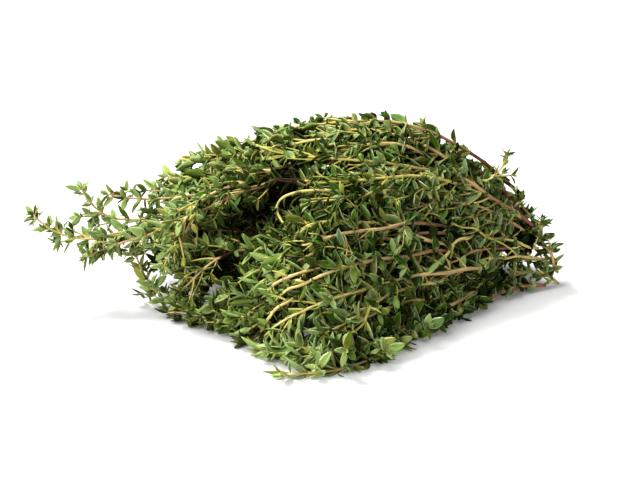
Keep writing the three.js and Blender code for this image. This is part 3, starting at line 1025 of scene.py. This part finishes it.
@dataclass(frozen=True)
class ShootLine:
    """How side shoots stand and bend, with the pair of their radii from foot to tip.

    `reach` is the range of their lengths as shares of the habit's, `bend` how far they turn back
    to the stem's heading, `stray` and `sag` how they err and droop, `held` the share of an outward
    heading that the heap takes back, and `pulled` what is left of the length of one that would
    stand out of it. None grows past the share `until` of the stem.
    """

    radii: Pair = (0.44, 0.25)
    reach: Pair = (0.5, 1.25)
    until: float = 0.9
    samples: int = 9
    bend: float = 0.45
    stray: float = 0.16
    sag: float = 0.08
    held: float = 0.85
    pulled: float = 0.4
    greener: float = 0.05
    tip_ripeness: Pair = (0.0, 0.3)
    youth: float = 0.12
    foot_spread: float = 1.0
    bunch_share: float = 0.55
    bunch_leaf: float = 0.75


VARIETY = Variety()
SHOOT_LINE = ShootLine()
STEM_FORM = StalkForm(step=1.6, sides=8)
SHOOT_FORM = StalkForm(step=1.8, sides=6, swelling=0.35, node_reach=0.7)
PLAIN_UNDER, FINE_OVER = 4.2, 5.6


@dataclass
class Sprig:
    """One leafy sprig, grown on a settled stem.

    Its number starts its own random draws. The last node is `tip_gap` from the tip. A leaf's foot
    is at the share `inset` of the stem's radius, and a bunch's is `axil` from the middle line.
    Leaves grow shorter as the share along a line to the power `shorter`, and past `young_from` of
    it they are younger, fully so `young_over` further on. Under the height `knee`, points are
    squeezed so that none comes lower than `floor`.
    """

    number: int
    stem: np.ndarray
    habit: Habit
    heap: Heap
    comb: Comb
    tip_gap: float = 0.5
    inset: float = 0.6
    axil: float = 0.4
    bunch_leaf: float = 0.72
    shorter: float = 1.5
    young_from: float = 0.7
    young_over: float = 0.3
    knee: float = 2.0
    floor: float = 0.12
    rng: np.random.Generator = field(init=False)
    skin: Skin = field(default_factory=Skin)
    batches: list[Leaves] = field(default_factory=list)

    def __post_init__(self) -> None:
        """Starts the source of the sprig's small differences."""
        self.rng = np.random.default_rng(self.number)

    def node_places(self, length: float, bare: float, gap: Pair) -> np.ndarray:
        """Distances of the nodes from the foot.

        Args:
            length: Length of the stem or shoot.
            bare: Length of its leafless foot.
            gap: Distance between nodes at the foot and at the tip.

        Returns:
            Distances up to just under the tip, growing closer together towards it.
        """
        places = []
        at = bare
        while at < length - self.tip_gap:
            places.append(at)
            at += blend(gap, at / length) * self.rng.uniform(*VARIETY.node_gap)
        return np.array(places)

    def outward(self, side: np.ndarray, rise: np.ndarray) -> np.ndarray:
        """Directions of one leaf of each pair, a quarter turn from node to node."""
        start = self.rng.uniform(0, 2 * np.pi)
        quarters = start + np.pi / 2 * np.arange(len(side))
        angle = quarters + self.rng.normal(0, VARIETY.turn, len(side))
        return np.cos(angle)[:, None] * side + np.sin(angle)[:, None] * rise

    def leaves(self, foot: np.ndarray, along: np.ndarray, out: np.ndarray, spread: np.ndarray,
               length: np.ndarray, youth: np.ndarray, place: np.ndarray) -> None:
        """Adds a batch of leaves with the small differences that leaves have.

        Args:
            foot: Feet of the leaves.
            along: Headings of their lines.
            out: Directions in which they leave the line.
            spread: Angles from the line.
            length: Lengths.
            youth: From 0 for a grown leaf to 1 for one just unfolded.
            place: Places along the sprig as shares of its length.
        """
        rng, habit, count = self.rng, self.habit, len(foot)
        surface = self.heap.outward(foot)
        away = (out * surface).sum(axis=1)
        out = unit(out - habit.lie * away[:, None] * surface)
        away = away.clip(0)
        heading = np.cos(spread)[:, None] * along + np.sin(spread)[:, None] * out
        middle = foot + heading * (length * 0.5)[:, None]

        kept = rng.random(count) > blend(habit.loss, place) * (2 * away).clip(0, 1)
        kept &= ~(self.comb.covers(middle, self.number) & (rng.random(count) < habit.combed))
        is_in_shaded_hollow = self.heap.is_hollow(foot + out * VARIETY.deep_reach)
        kept &= ~(is_in_shaded_hollow & (rng.random(count) < VARIETY.deep_loss))
        if habit.is_bound:
            kept &= ~self.heap.is_stray(middle)
        tone = self.heap.tone(foot)
        if habit.is_bound and habit.combed > 0:
            is_sparse = (tone < VARIETY.sparse_tone) & (place < VARIETY.sparse_until)
            kept &= ~(is_sparse & (rng.random(count) < VARIETY.sparse_loss))

        batch = Leaves(
            foot=foot,
            along=along,
            out=out,
            face=surface * (habit.facing * rng.uniform(*VARIETY.facing, count))[:, None],
            spread=spread * (1 - habit.press * away) + rng.normal(0, VARIETY.spread, count),
            length=length * rng.uniform(*VARIETY.length, count),
            slim=rng.uniform(*VARIETY.slim, count) + VARIETY.young_slim * youth,
            curl=rng.normal(*VARIETY.curl, count) * (1 + VARIETY.young_curl * youth),
            fold=rng.normal(*VARIETY.fold, count) + VARIETY.young_fold * youth,
            twist=rng.normal(0, VARIETY.twist, count),
            # Painted shade: leaves near a hollow take the darkest colours.
            hue=np.where(is_in_shaded_hollow, VARIETY.painted_shade_hue,
                         blend(habit.hue, place) + habit.fresh * youth + VARIETY.tone_hue * tone
                         + rng.normal(0, VARIETY.hue, count)).clip(0, 1),
            shade=np.where(is_in_shaded_hollow, 0.0, blend(habit.shade, place) + VARIETY.tone_shade * tone
                           + rng.normal(0, VARIETY.shade, count)).clip(0, 1),
        )
        self.batches.append(batch.pick(kept))

    def pairs(self, stalk: Stalk, nodes: np.ndarray, out: np.ndarray, leaf: Pair,
              spread: Pair, young: float) -> None:
        """Adds an opposite pair of leaves at each node, smaller and younger towards the tip."""
        foot, along, _, _ = stalk.frame_at(nodes)
        share = stalk.share(nodes)
        radius = blend(stalk.radii, share)[:, None]
        last = ((share - self.young_from) / self.young_over).clip(0, 1)
        youth = (young + (1 - young) * last).clip(0, 1)
        for sign in (1, -1):
            self.leaves(foot + sign * out * radius * self.inset, along, sign * out,
                        blend(spread, share), blend(leaf, share ** self.shorter), youth,
                        stalk.place_at(nodes))

    def tuft(self, form: Tuft, tiers: int, foot: np.ndarray, axis: np.ndarray,
             across: np.ndarray, other: np.ndarray, leaf: float, place: np.ndarray) -> None:
        """Adds tufts of small leaves.

        Args:
            form: Their build.
            tiers: Number of crossed pairs in each.
            foot: Feet of the tufts.
            axis: Directions in which they point.
            across: Directions square to the axes.
            other: Directions square to both.
            leaf: Length of the lowest leaves.
            place: Places along the sprig as shares of its length.
        """
        for tier in range(tiers):
            turn = self.rng.uniform(0, form.turn) + np.pi / 2 * tier
            direction = np.cos(turn) * across + np.sin(turn) * other
            height, size, spread, youth = form.measures(tier)
            for sign in (1, -1):
                self.leaves(foot + axis * height, axis, sign * direction,
                            *(np.full(len(foot), value) for value in (spread, leaf * size, youth)),
                            place)

    def bunches(self, stalk: Stalk, nodes: np.ndarray, out: np.ndarray, leaf: float,
                tiers: int) -> None:
        """Adds a bunch of small leaves in both axils of each node.

        Args:
            stalk: The line that carries the nodes.
            nodes: Distances of the nodes from its foot.
            out: Direction of one leaf of each pair.
            leaf: Length of the bunch's lowest leaves.
            tiers: Pairs of leaves in a bunch.
        """
        if len(nodes) == 0:
            return
        foot, along, _, _ = stalk.frame_at(nodes)
        for sign in (1, -1):
            lean = self.rng.uniform(*VARIETY.bunch_lean, len(nodes))[:, None]
            axis = unit(np.cos(lean) * along + np.sin(lean) * sign * out)
            across = unit(np.cross(axis, along))
            self.tuft(BUNCH, tiers, foot + sign * out * self.axil, axis, across,
                      np.cross(axis, across), leaf, stalk.place_at(nodes))

    def rosette(self, stalk: Stalk, leaf: float) -> None:
        """Adds closing pairs of young leaves at a tip."""
        end = np.full(1, stalk.length)
        point, *axes = stalk.frame_at(end)
        self.tuft(ROSETTE, ROSETTE_TIERS, point, *axes, leaf, stalk.place_at(end))

    def held_in(self, point: np.ndarray, heading: np.ndarray) -> np.ndarray:
        """Turns a shoot's heading back into the heap where it would stand far out of it."""
        out = self.heap.outward(point)
        return unit(heading - SHOOT_LINE.held * max(float(heading @ out), 0.0) * out)

    def shoot(self, start: np.ndarray, along: np.ndarray, out: np.ndarray, length: float,
              ripeness: float, place: float) -> None:
        """Grows one side shoot: a short line that leaves the stem and bends towards its heading.

        The line is a parabola: at the share t it has gone t times the heading and half t squared
        times the bend, times the length.

        Args:
            start: Its foot.
            along: The stem's heading.
            out: Direction in which it leaves.
            length: Its length.
            ripeness: The stem's ripeness at its foot.
            place: Where its foot is, as a share of the sprig's length.
        """
        rng, habit, line = self.rng, self.habit, SHOOT_LINE
        lean = rng.uniform(*habit.shoot_lean)
        surface = self.heap.outward(start)
        out = unit(out - habit.shoot_lie * float(out @ surface) * surface)
        heading = self.held_in(start, math.cos(lean) * along + math.sin(lean) * out)
        bend = line.bend * (along - heading) + rng.normal(0, line.stray, 3)
        bend = bend - np.array([0, 0, line.sag])
        t = np.linspace(0, 1, line.samples)[:, None]
        points = start + length * (t * heading + t * t / 2 * bend)
        if habit.is_bound and self.heap.is_stray(points[-1:])[0]:
            points = start + line.pulled * (points - start)
        ripe = (ripeness - line.greener, rng.uniform(*line.tip_ripeness))
        stalk = Stalk(points, line.radii, ripe, place, 0.0)
        nodes = self.node_places(stalk.length, rng.uniform(*habit.shoot_bare), habit.shoot_gap)
        outs = self.outward(*stalk.frame_at(nodes)[2:])
        self.pairs(stalk, nodes, outs, habit.shoot_leaf, (line.foot_spread, habit.shoot_spread),
                   line.youth)
        leafy = rng.random(len(nodes)) < line.bunch_share
        self.bunches(stalk, nodes[leafy], outs[leafy], habit.shoot_leaf[1] * line.bunch_leaf, 1)
        self.rosette(stalk, habit.shoot_leaf[1])
        self.skin.add_stalk(stalk, nodes, SHOOT_FORM, self.heap)

    def shoots(self, foot: np.ndarray, along: np.ndarray, outs: np.ndarray, share: np.ndarray,
               ripeness: Pair) -> None:
        """Grows the side shoots, at most two to a node.

        Args:
            foot: The nodes.
            along: The stem's headings there.
            outs: Direction of one leaf of each pair.
            share: Places of the nodes along the stem.
            ripeness: The stem's ripeness from foot to tip.
        """
        for i, place in enumerate(share):
            for sign in (1, -1):
                if place > SHOOT_LINE.until or self.rng.random() > self.habit.shoot_share:
                    continue
                length = blend(self.habit.shoot_length, place)
                self.shoot(foot[i], along[i], sign * outs[i],
                           length * self.rng.uniform(*SHOOT_LINE.reach),
                           blend(ripeness, place), place)

    def grow(self) -> Skin:
        """Grows the whole sprig and keeps it above the table.

        Returns:
            The sprig's skin. The height of a point under the knee falls off towards the floor as
            an exponential of its depth below the knee.
        """
        rng, habit = self.rng, self.habit
        older = rng.uniform(-VARIETY.ripeness, VARIETY.ripeness)
        ripeness = (habit.ripeness[0] + older, habit.ripeness[1] + older)
        stalk = Stalk(smooth(self.stem), habit.stem_radii, ripeness)
        bare = stalk.length * habit.bare + rng.uniform(*VARIETY.bare)
        nodes = self.node_places(stalk.length, bare, habit.node_gap)
        foot, along, side, rise = stalk.frame_at(nodes)
        outs = self.outward(side, rise)
        self.pairs(stalk, nodes, outs, habit.leaf, habit.spread, 0.0)
        tiers = rng.integers(habit.least_tiers, habit.tiers + 1, len(nodes))
        for count in range(1, habit.tiers + 1):
            chosen = tiers == count
            self.bunches(stalk, nodes[chosen], outs[chosen], habit.leaf[1] * self.bunch_leaf,
                         count)
        self.rosette(stalk, habit.leaf[1])
        self.shoots(foot, along, outs, stalk.share(nodes), ripeness)
        self.skin.add_stalk(stalk, nodes, STEM_FORM, self.heap)

        leaves = Leaves.join(self.batches)
        is_small = leaves.length < PLAIN_UNDER
        is_large = (leaves.length > FINE_OVER) & habit.is_fine
        for cut, chosen in ((PLAIN_CUT, is_small), (MIDDLE_CUT, ~is_small & ~is_large),
                            (FINE_CUT, is_large)):
            self.skin.add_leaves(cut, leaves.pick(chosen))
        room = self.knee - self.floor
        for points in self.skin.points:
            low = points[:, 2] < self.knee
            points[low, 2] = self.floor + room * np.exp((points[low, 2] - self.knee) / room)
        return self.skin


# ---- finishes ------------------------------------------------------------------------------------


class Num:
    """A shader number: wraps a socket, and turns arithmetic on it into Math nodes."""

    def __init__(self, board: "Board", socket: Socket) -> None:
        """Keeps the board that new nodes go on and the socket that holds the number."""
        self.board = board
        self.socket = socket

    def math(self, operation: str, *values: "Num | float") -> "Num":
        """The result of a Math node on the values."""
        node = self.board.node("ShaderNodeMath", {"operation": operation}, dict(enumerate(values)))
        return Num(self.board, node.outputs[0])

    def __add__(self, other: "Num | float") -> "Num":
        """This plus other."""
        return self.math("ADD", self, other)

    def __mul__(self, other: "Num | float") -> "Num":
        """This times other."""
        return self.math("MULTIPLY", self, other)

    __radd__ = __add__
    __rmul__ = __mul__

    def __sub__(self, other: "Num | float") -> "Num":
        """This less other."""
        return self.math("SUBTRACT", self, other)

    def __rsub__(self, other: "Num | float") -> "Num":
        """Other less this."""
        return self.math("SUBTRACT", other, self)

    def __truediv__(self, other: "Num | float") -> "Num":
        """This divided by other."""
        return self.math("DIVIDE", self, other)

    def __rtruediv__(self, other: "Num | float") -> "Num":
        """Other divided by this."""
        return self.math("DIVIDE", other, self)

    def whole(self) -> "Num":
        """The whole part."""
        return self.math("FLOOR", self)

    def rest(self) -> "Num":
        """The part after the point."""
        return self.math("FRACT", self)

    def size(self) -> "Num":
        """The number without its sign."""
        return self.math("ABSOLUTE", self)

    def above(self, limit: float) -> "Num":
        """1 where the number is over the limit, else 0."""
        return self.math("GREATER_THAN", self, limit)

    def rise(self, low: float, high: float) -> "Num":
        """A smooth step from 0 at low to 1 at high, or falling if low is over high."""
        node = self.board.node("ShaderNodeMapRange", {"interpolation_type": "SMOOTHSTEP"}, {
            "Value": self, "From Min": low, "From Max": high, "To Min": 0.0, "To Max": 1.0})
        return Num(self.board, node.outputs[0])


class Board:
    """A material's node tree, with one method that makes every node."""

    def __init__(self, name: str) -> None:
        """Starts a material with an empty tree."""
        self.material = bpy.data.materials.new(name)
        self.material.use_nodes = True
        self.tree = self.material.node_tree
        self.tree.nodes.clear()

    def node(self, kind: str, settings: dict[str, object], inputs: dict) -> bpy.types.Node:
        """Makes a node.

        Args:
            kind: Type of the node.
            settings: Its properties, set before its inputs. `stops` fills a ramp.
            inputs: Value, colour, number or socket for each input, by name or place.

        Returns:
            The node.
        """
        node = self.tree.nodes.new(kind)
        for key, value in settings.items():
            if key == "stops":
                self.fill_ramp(node.color_ramp, value)
            else:
                setattr(node, key, value)
        for key, value in inputs.items():
            socket = node.inputs[key]
            value = value.socket if isinstance(value, Num) else value
            if isinstance(value, Socket):
                self.tree.links.new(value, socket)
            elif isinstance(value, tuple) and len(value) == 3 and socket.type == "RGBA":
                socket.default_value = (*value, 1.0)
            else:
                socket.default_value = value
        return node

    def fill_ramp(self, ramp: bpy.types.ColorRamp, stops: Stops) -> None:
        """Puts the stops, each a place and a colour, on a colour ramp."""
        while len(ramp.elements) < len(stops):
            ramp.elements.new(1.0)
        for element, (place, colour) in zip(ramp.elements, stops):
            element.position = place
            element.color = (*colour, 1.0)

    def ramp(self, value: Num, stops: Stops) -> Socket:
        """The colour of a ramp at a number."""
        return self.node("ShaderNodeValToRGB", {"stops": stops}, {"Fac": value}).outputs["Color"]

    def mix(self, share: "Num | float", first: object, second: object) -> Socket:
        """A mix of two colours: the first where the share is 0, the second where it is 1."""
        node = self.node("ShaderNodeMix", {"data_type": "RGBA"}, {0: share, 6: first, 7: second})
        return node.outputs[2]

    def tinted(self, colour: Socket, strength: Num) -> Socket:
        """A colour scaled by a number."""
        node = self.node("ShaderNodeVectorMath", {"operation": "SCALE"},
                         {0: colour, "Scale": strength})
        return node.outputs[0]

    def noise(self, place: Socket, scale: float, detail: float) -> Num:
        """A noise number from 0 to 1 at a place."""
        node = self.node("ShaderNodeTexNoise", {"noise_dimensions": "2D"},
                         {"Vector": place, "Scale": scale, "Detail": detail})
        return Num(self, node.outputs[0])

    def principled(self, inputs: dict) -> bpy.types.Material:
        """Ends the tree with a Principled shader and gives the material."""
        shader = self.node("ShaderNodeBsdfPrincipled", {}, inputs)
        self.node("ShaderNodeOutputMaterial", {}, {"Surface": shader.outputs[0]})
        return self.material


@dataclass(frozen=True)
class ThymeFinish:
    """The finish of leaves and stems, as a function of the colours' UV square alone.

    Colours are linear. `leaf_stops` runs from old to young leaves and `stem_stops` from green to
    woody stems. `veins` holds the number of side veins and how far they slant. The `_mix` values
    are how strongly each colour covers the one before. The rim's mix, the furrow's pair and the
    `_light` pairs hold a value and what its mask adds, and `mottle` what speckles and patches add
    to the first. The furrow's pair is painted shade towards the midrib, the rim's colour is the
    pale rim and partly a painted highlight, and the bloom's colour partly a painted sheen.
    `relief` is the height of speckles, veins, midrib and streaks.
    """

    leaf_stops: Stops = (
        (0.0, (0.014, 0.048, 0.004)),
        (0.35, (0.036, 0.100, 0.006)),
        (0.65, (0.080, 0.174, 0.012)),
        (1.0, (0.260, 0.355, 0.078)),
    )
    under_green: Colour = (0.150, 0.212, 0.044)
    rib_green: Colour = (0.205, 0.280, 0.052)
    margin_green: Colour = (0.460, 0.510, 0.390)
    foot_green: Colour = (0.460, 0.490, 0.150)
    bloom_green: Colour = (0.190, 0.248, 0.140)
    stem_stops: Stops = (
        (0.0, (0.270, 0.340, 0.070)),
        (0.25, (0.560, 0.505, 0.150)),
        (0.45, (0.660, 0.540, 0.220)),
        (0.62, (0.560, 0.400, 0.215)),
        (0.8, (0.300, 0.125, 0.085)),
        (1.0, (0.050, 0.028, 0.020)),
    )
    sallow_tint: Colour = (1.45, 1.02, 0.85)
    vein_mix: float = 0.22
    rib_mix: float = 0.45
    rim_and_highlight_mix: Pair = (0.42, 0.43)
    under_mix: float = 0.35
    under_rib_mix: float = 0.5
    bloom_and_sheen_mix: float = 0.38
    foot_mix: float = 0.7
    sallow_mix: float = 0.65
    furrow_painted_shade: Pair = (0.98, -0.12)
    row_light: Pair = (0.3, 1.1)
    mottle: Triple = (0.82, 0.2, 0.16)
    streak_light: Pair = (0.7, 0.6)
    relief: tuple[float, float, float, float] = (0.35, 0.25, -0.6, 0.5)
    veins: Pair = (6.0, 1.7)
    speckle_scale: float = 260.0
    patch_scale: float = 46.0
    streak_scale: Triple = (26.0, 260.0, 1.0)
    bump_strength: float = 0.35
    bump_height: float = 0.0003
    roughness: float = 0.55
    specular: float = 0.03

    def material(self, name: str) -> bpy.types.Material:
        """Builds the material.

        Args:
            name: Name of the material.

        Returns:
            A Principled material. Under the stem band it has the leaf's colour and in the band the
            stem's, which comes from its ripeness, with fine streaks along it.
        """
        board = Board(name)
        uv = board.node("ShaderNodeUVMap", {"uv_map": UV_NAME}, {}).outputs[0]
        split = board.node("ShaderNodeSeparateXYZ", {}, {0: uv})
        x, y = (Num(board, split.outputs[k]) for k in (0, 1))
        is_stem = y.above(COLOURS.stem_from)
        speckle = board.noise(uv, self.speckle_scale, 3.0)
        patch = board.noise(uv, self.patch_scale, 1.0)
        stretched = board.node("ShaderNodeMapping", {}, {0: uv, "Scale": self.streak_scale})
        streak = board.noise(stretched.outputs[0], 1.0, 2.0)

        plain, speckled, patched = self.mottle
        leaf, veins, rib = self.leaf(board, x, y, plain + speckle * speckled + patch * patched)
        dark, light = self.streak_light
        stem = board.tinted(board.ramp(x, self.stem_stops), dark + streak * light)
        masks = (speckle, veins, rib, streak * is_stem)
        first, second, third, fourth = (mask * part for mask, part in zip(masks, self.relief))
        height = first + second + third + fourth
        bump = board.node("ShaderNodeBump", {}, {
            "Strength": self.bump_strength, "Distance": self.bump_height, "Height": height})
        return board.principled({
            "Base Color": board.mix(is_stem, leaf, stem),
            "Roughness": self.roughness,
            "Normal": bump.outputs[0],
            "Specular IOR Level": self.specular,
        })

    def leaf(self, board: Board, x: Num, y: Num,
             mottle: Num) -> tuple[Socket, Num, Num]:
        """Builds a leaf's colour from its cell.

        Inside the cell, v is the distance from the midrib and u the place along the leaf, both
        from 0 to 1. The colour has a pale midrib, margins, foot and faint slanting veins. Painted
        shade darkens the blade towards the midrib, the margins are paler on light rows as a
        painted highlight, and the light rows have a bluish bloom that is partly a painted sheen.
        The under face is paler and greyer, and the leaves of some cells are sallow.

        Args:
            board: The material's nodes.
            x: Place across the colours' square.
            y: Place up the square.
            mottle: Lightness that varies over the square.

        Returns:
            The colour, and how strong a vein and the midrib are.
        """
        column, row = x * float(COLOURS.columns), y / COLOURS.cell_height
        hue = column.whole() / (COLOURS.columns - 1.0)
        shade = row.whole() / (COLOURS.rows - 1.0)
        inner_x, inner_y = column.rest(), row.rest()
        is_under = inner_x.above(0.5)
        face_at = COLOURS.upper_at + is_under * (COLOURS.under_at - COLOURS.upper_at)
        v = ((inner_x - face_at) * (2.0 / COLOURS.face_width) - 1.0).size()
        u = (inner_y - COLOURS.foot_at) / COLOURS.face_height

        count, slant = self.veins
        veins = ((u * count - v * slant).rest() - 0.5).size().rise(0.40, 0.5) * v.rise(0.05, 0.3)
        rib = v.rise(0.16, 0.03) * u.rise(0.98, 0.55)
        margin, foot = v.rise(0.76, 0.90), u.rise(0.42, 0.02)

        # Painted shade: the blade darkens towards the midrib, as in the leaf's cup.
        even, deeper = self.furrow_painted_shade
        furrow = v.rise(0.95, 0.15) * deeper + even
        green = board.tinted(board.ramp(hue, self.leaf_stops), furrow)
        green = board.mix(veins * self.vein_mix, green, self.rib_green)
        green = board.mix(rib * self.rib_mix, green, self.rib_green)
        # The pale rim is the leaf's own, and it grows stronger on light rows as a painted
        # highlight.
        low, more = self.rim_and_highlight_mix
        green = board.mix(margin * (low + shade * more), green, self.margin_green)
        under = board.mix(self.under_mix, self.under_green, green)
        under = board.mix(rib * self.under_rib_mix, under, self.rib_green)
        leaf = board.mix(is_under, green, under)
        # Light rows turn greyer: partly the leaves' bloom, partly a painted sheen.
        leaf = board.mix(shade.rise(0.55, 1.0) * self.bloom_and_sheen_mix, leaf, self.bloom_green)
        leaf = board.mix(foot * self.foot_mix, leaf, self.foot_green)

        cell = board.node("ShaderNodeCombineXYZ", {}, {0: hue, 1: shade})
        chance = Num(board, board.node("ShaderNodeTexWhiteNoise", {"noise_dimensions": "2D"}, {
            "Vector": cell.outputs[0]}).outputs["Value"])
        sallow = board.node("ShaderNodeVectorMath", {"operation": "MULTIPLY"},
                            {0: leaf, 1: self.sallow_tint}).outputs[0]
        leaf = board.mix(chance.rise(0.5, 1.0) * self.sallow_mix, leaf, sallow)
        # Rows are brighter from dark to light; through the habits' `shade` they carry painted light
        # and shade as well as the leaves' own lightness.
        dark, light = self.row_light
        return board.tinted(leaf, (dark + shade * light) * mottle), veins, rib


# ---- studio --------------------------------------------------------------------------------------


@dataclass(frozen=True)
class Lamp:
    """A far, broad light: the point that it shines from towards the origin, its width and power.

    The width is the angle that it covers in the sky.
    """

    name: str
    at: Triple
    width: float
    power: float
    colour: Colour = (1.0, 1.0, 1.0)

    def build(self) -> None:
        """Adds the light to the scene."""
        data = bpy.data.lights.new(self.name, "SUN")
        data.angle = self.width
        data.energy = self.power
        data.color = self.colour
        lamp = bpy.data.objects.new(self.name, data)
        lamp.location = self.at
        lamp.rotation_euler = (-Vector(self.at)).to_track_quat("-Z", "Y").to_euler()
        bpy.context.scene.collection.objects.link(lamp)


@dataclass(frozen=True)
class Studio:
    """A plain pale floor, soft light from above and behind on the left, and the camera.

    Lengths are in metres but the lens and the sensor, which are in millimetres.
    """

    floor_side: float = 6.0
    floor_albedo: float = 0.60
    floor_roughness: float = 0.6
    floor_specular: float = 0.2
    floor_glow: float = 0.12
    sky: float = 0.12
    lamps: tuple[Lamp, ...] = (
        Lamp("key", (-0.42, 0.35, 0.84), math.radians(15), 3.4),
        Lamp("top", (-0.25, -0.05, 0.95), math.radians(60), 1.9),
        Lamp("fill", (-0.62, -0.54, 0.57), math.radians(30), 2.0),
    )
    aim: Triple = (0.0073, 0.00205, 0.030)
    elevation: float = 24.0
    distance: float = 0.672
    lens: float = 90.0
    sensor: float = 36.0
    nearest: float = 0.01

    def floor(self) -> None:
        """Lays the floor, a plain pale sheet that isn't part of the object.

        It glows faintly, as a table lit from below does, so that it shows white with soft shadows.
        """
        half = self.floor_side / 2
        mesh = bpy.data.meshes.new("floor")
        mesh.from_pydata([(-half, -half, 0), (half, -half, 0), (half, half, 0), (-half, half, 0)],
                         [], [(0, 1, 2, 3)])
        mesh.materials.append(Board("floor").principled({
            "Base Color": (self.floor_albedo,) * 3,
            "Roughness": self.floor_roughness,
            "Specular IOR Level": self.floor_specular,
            "Emission Color": (1.0, 1.0, 1.0),
            "Emission Strength": self.floor_glow,
        }))
        sheet = bpy.data.objects.new("floor", mesh)
        bpy.context.scene.collection.objects.link(sheet)

    def light(self) -> None:
        """Sets the even sky and the lamps."""
        world = bpy.data.worlds.new("studio")
        world.use_nodes = True
        sky = world.node_tree.nodes["Background"].inputs
        sky["Color"].default_value = (1, 1, 1, 1)
        sky["Strength"].default_value = self.sky
        bpy.context.scene.world = world
        for lamp in self.lamps:
            lamp.build()

    def camera(self) -> None:
        """Stands the camera in front, looking down at the heap."""
        data = bpy.data.cameras.new("camera")
        data.lens = self.lens
        data.sensor_width = self.sensor
        data.clip_start = self.nearest
        camera = bpy.data.objects.new("camera", data)
        angle = math.radians(self.elevation)
        aim = Vector(self.aim)
        camera.location = aim + self.distance * Vector((0, -math.cos(angle), math.sin(angle)))
        camera.rotation_euler = (aim - camera.location).to_track_quat("-Z", "Y").to_euler()
        bpy.context.scene.collection.objects.link(camera)
        bpy.context.scene.camera = camera

    def build(self) -> None:
        """Sets up the floor, light and camera, with colours shown as they are."""
        self.camera()
        self.floor()
        self.light()
        bpy.context.scene.view_settings.view_transform = "Standard"
        bpy.context.scene.view_settings.look = "Medium High Contrast"


# ---- the bundle ----------------------------------------------------------------------------------


def main() -> None:
    """Builds the studio and every sprig, and reports each piece."""
    logging.basicConfig(level=logging.INFO, format="%(message)s")
    Studio().build()
    heap = Heap()
    finish = ThymeFinish().material("thyme")
    stems = heap.settled()
    parts = [Part(node.split("_")[0]) for node in stems]
    habits = [habit_of(part, int(node[-2:])) for part, node in zip(parts, stems)]
    comb = Comb.over(list(stems.values()), habits)
    total = 0
    for number, (node, stem) in enumerate(stems.items()):
        sprig = Sprig(number, stem, habits[number], heap, comb)
        piece = sprig.grow().to_object(f"leafy_{node}", finish)
        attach(piece, BODY)
        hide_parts(node)
        triangles = sum(len(p.vertices) - 2 for p in piece.data.polygons)
        total += triangles
        low, _ = (np.array(corner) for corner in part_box(node))
        log.info("%s: %d triangles, foot of box %s", piece.name, triangles, np.round(low * METRE))
    log.info("bundle: %d triangles", total)


if __name__ == "__main__":
    main()
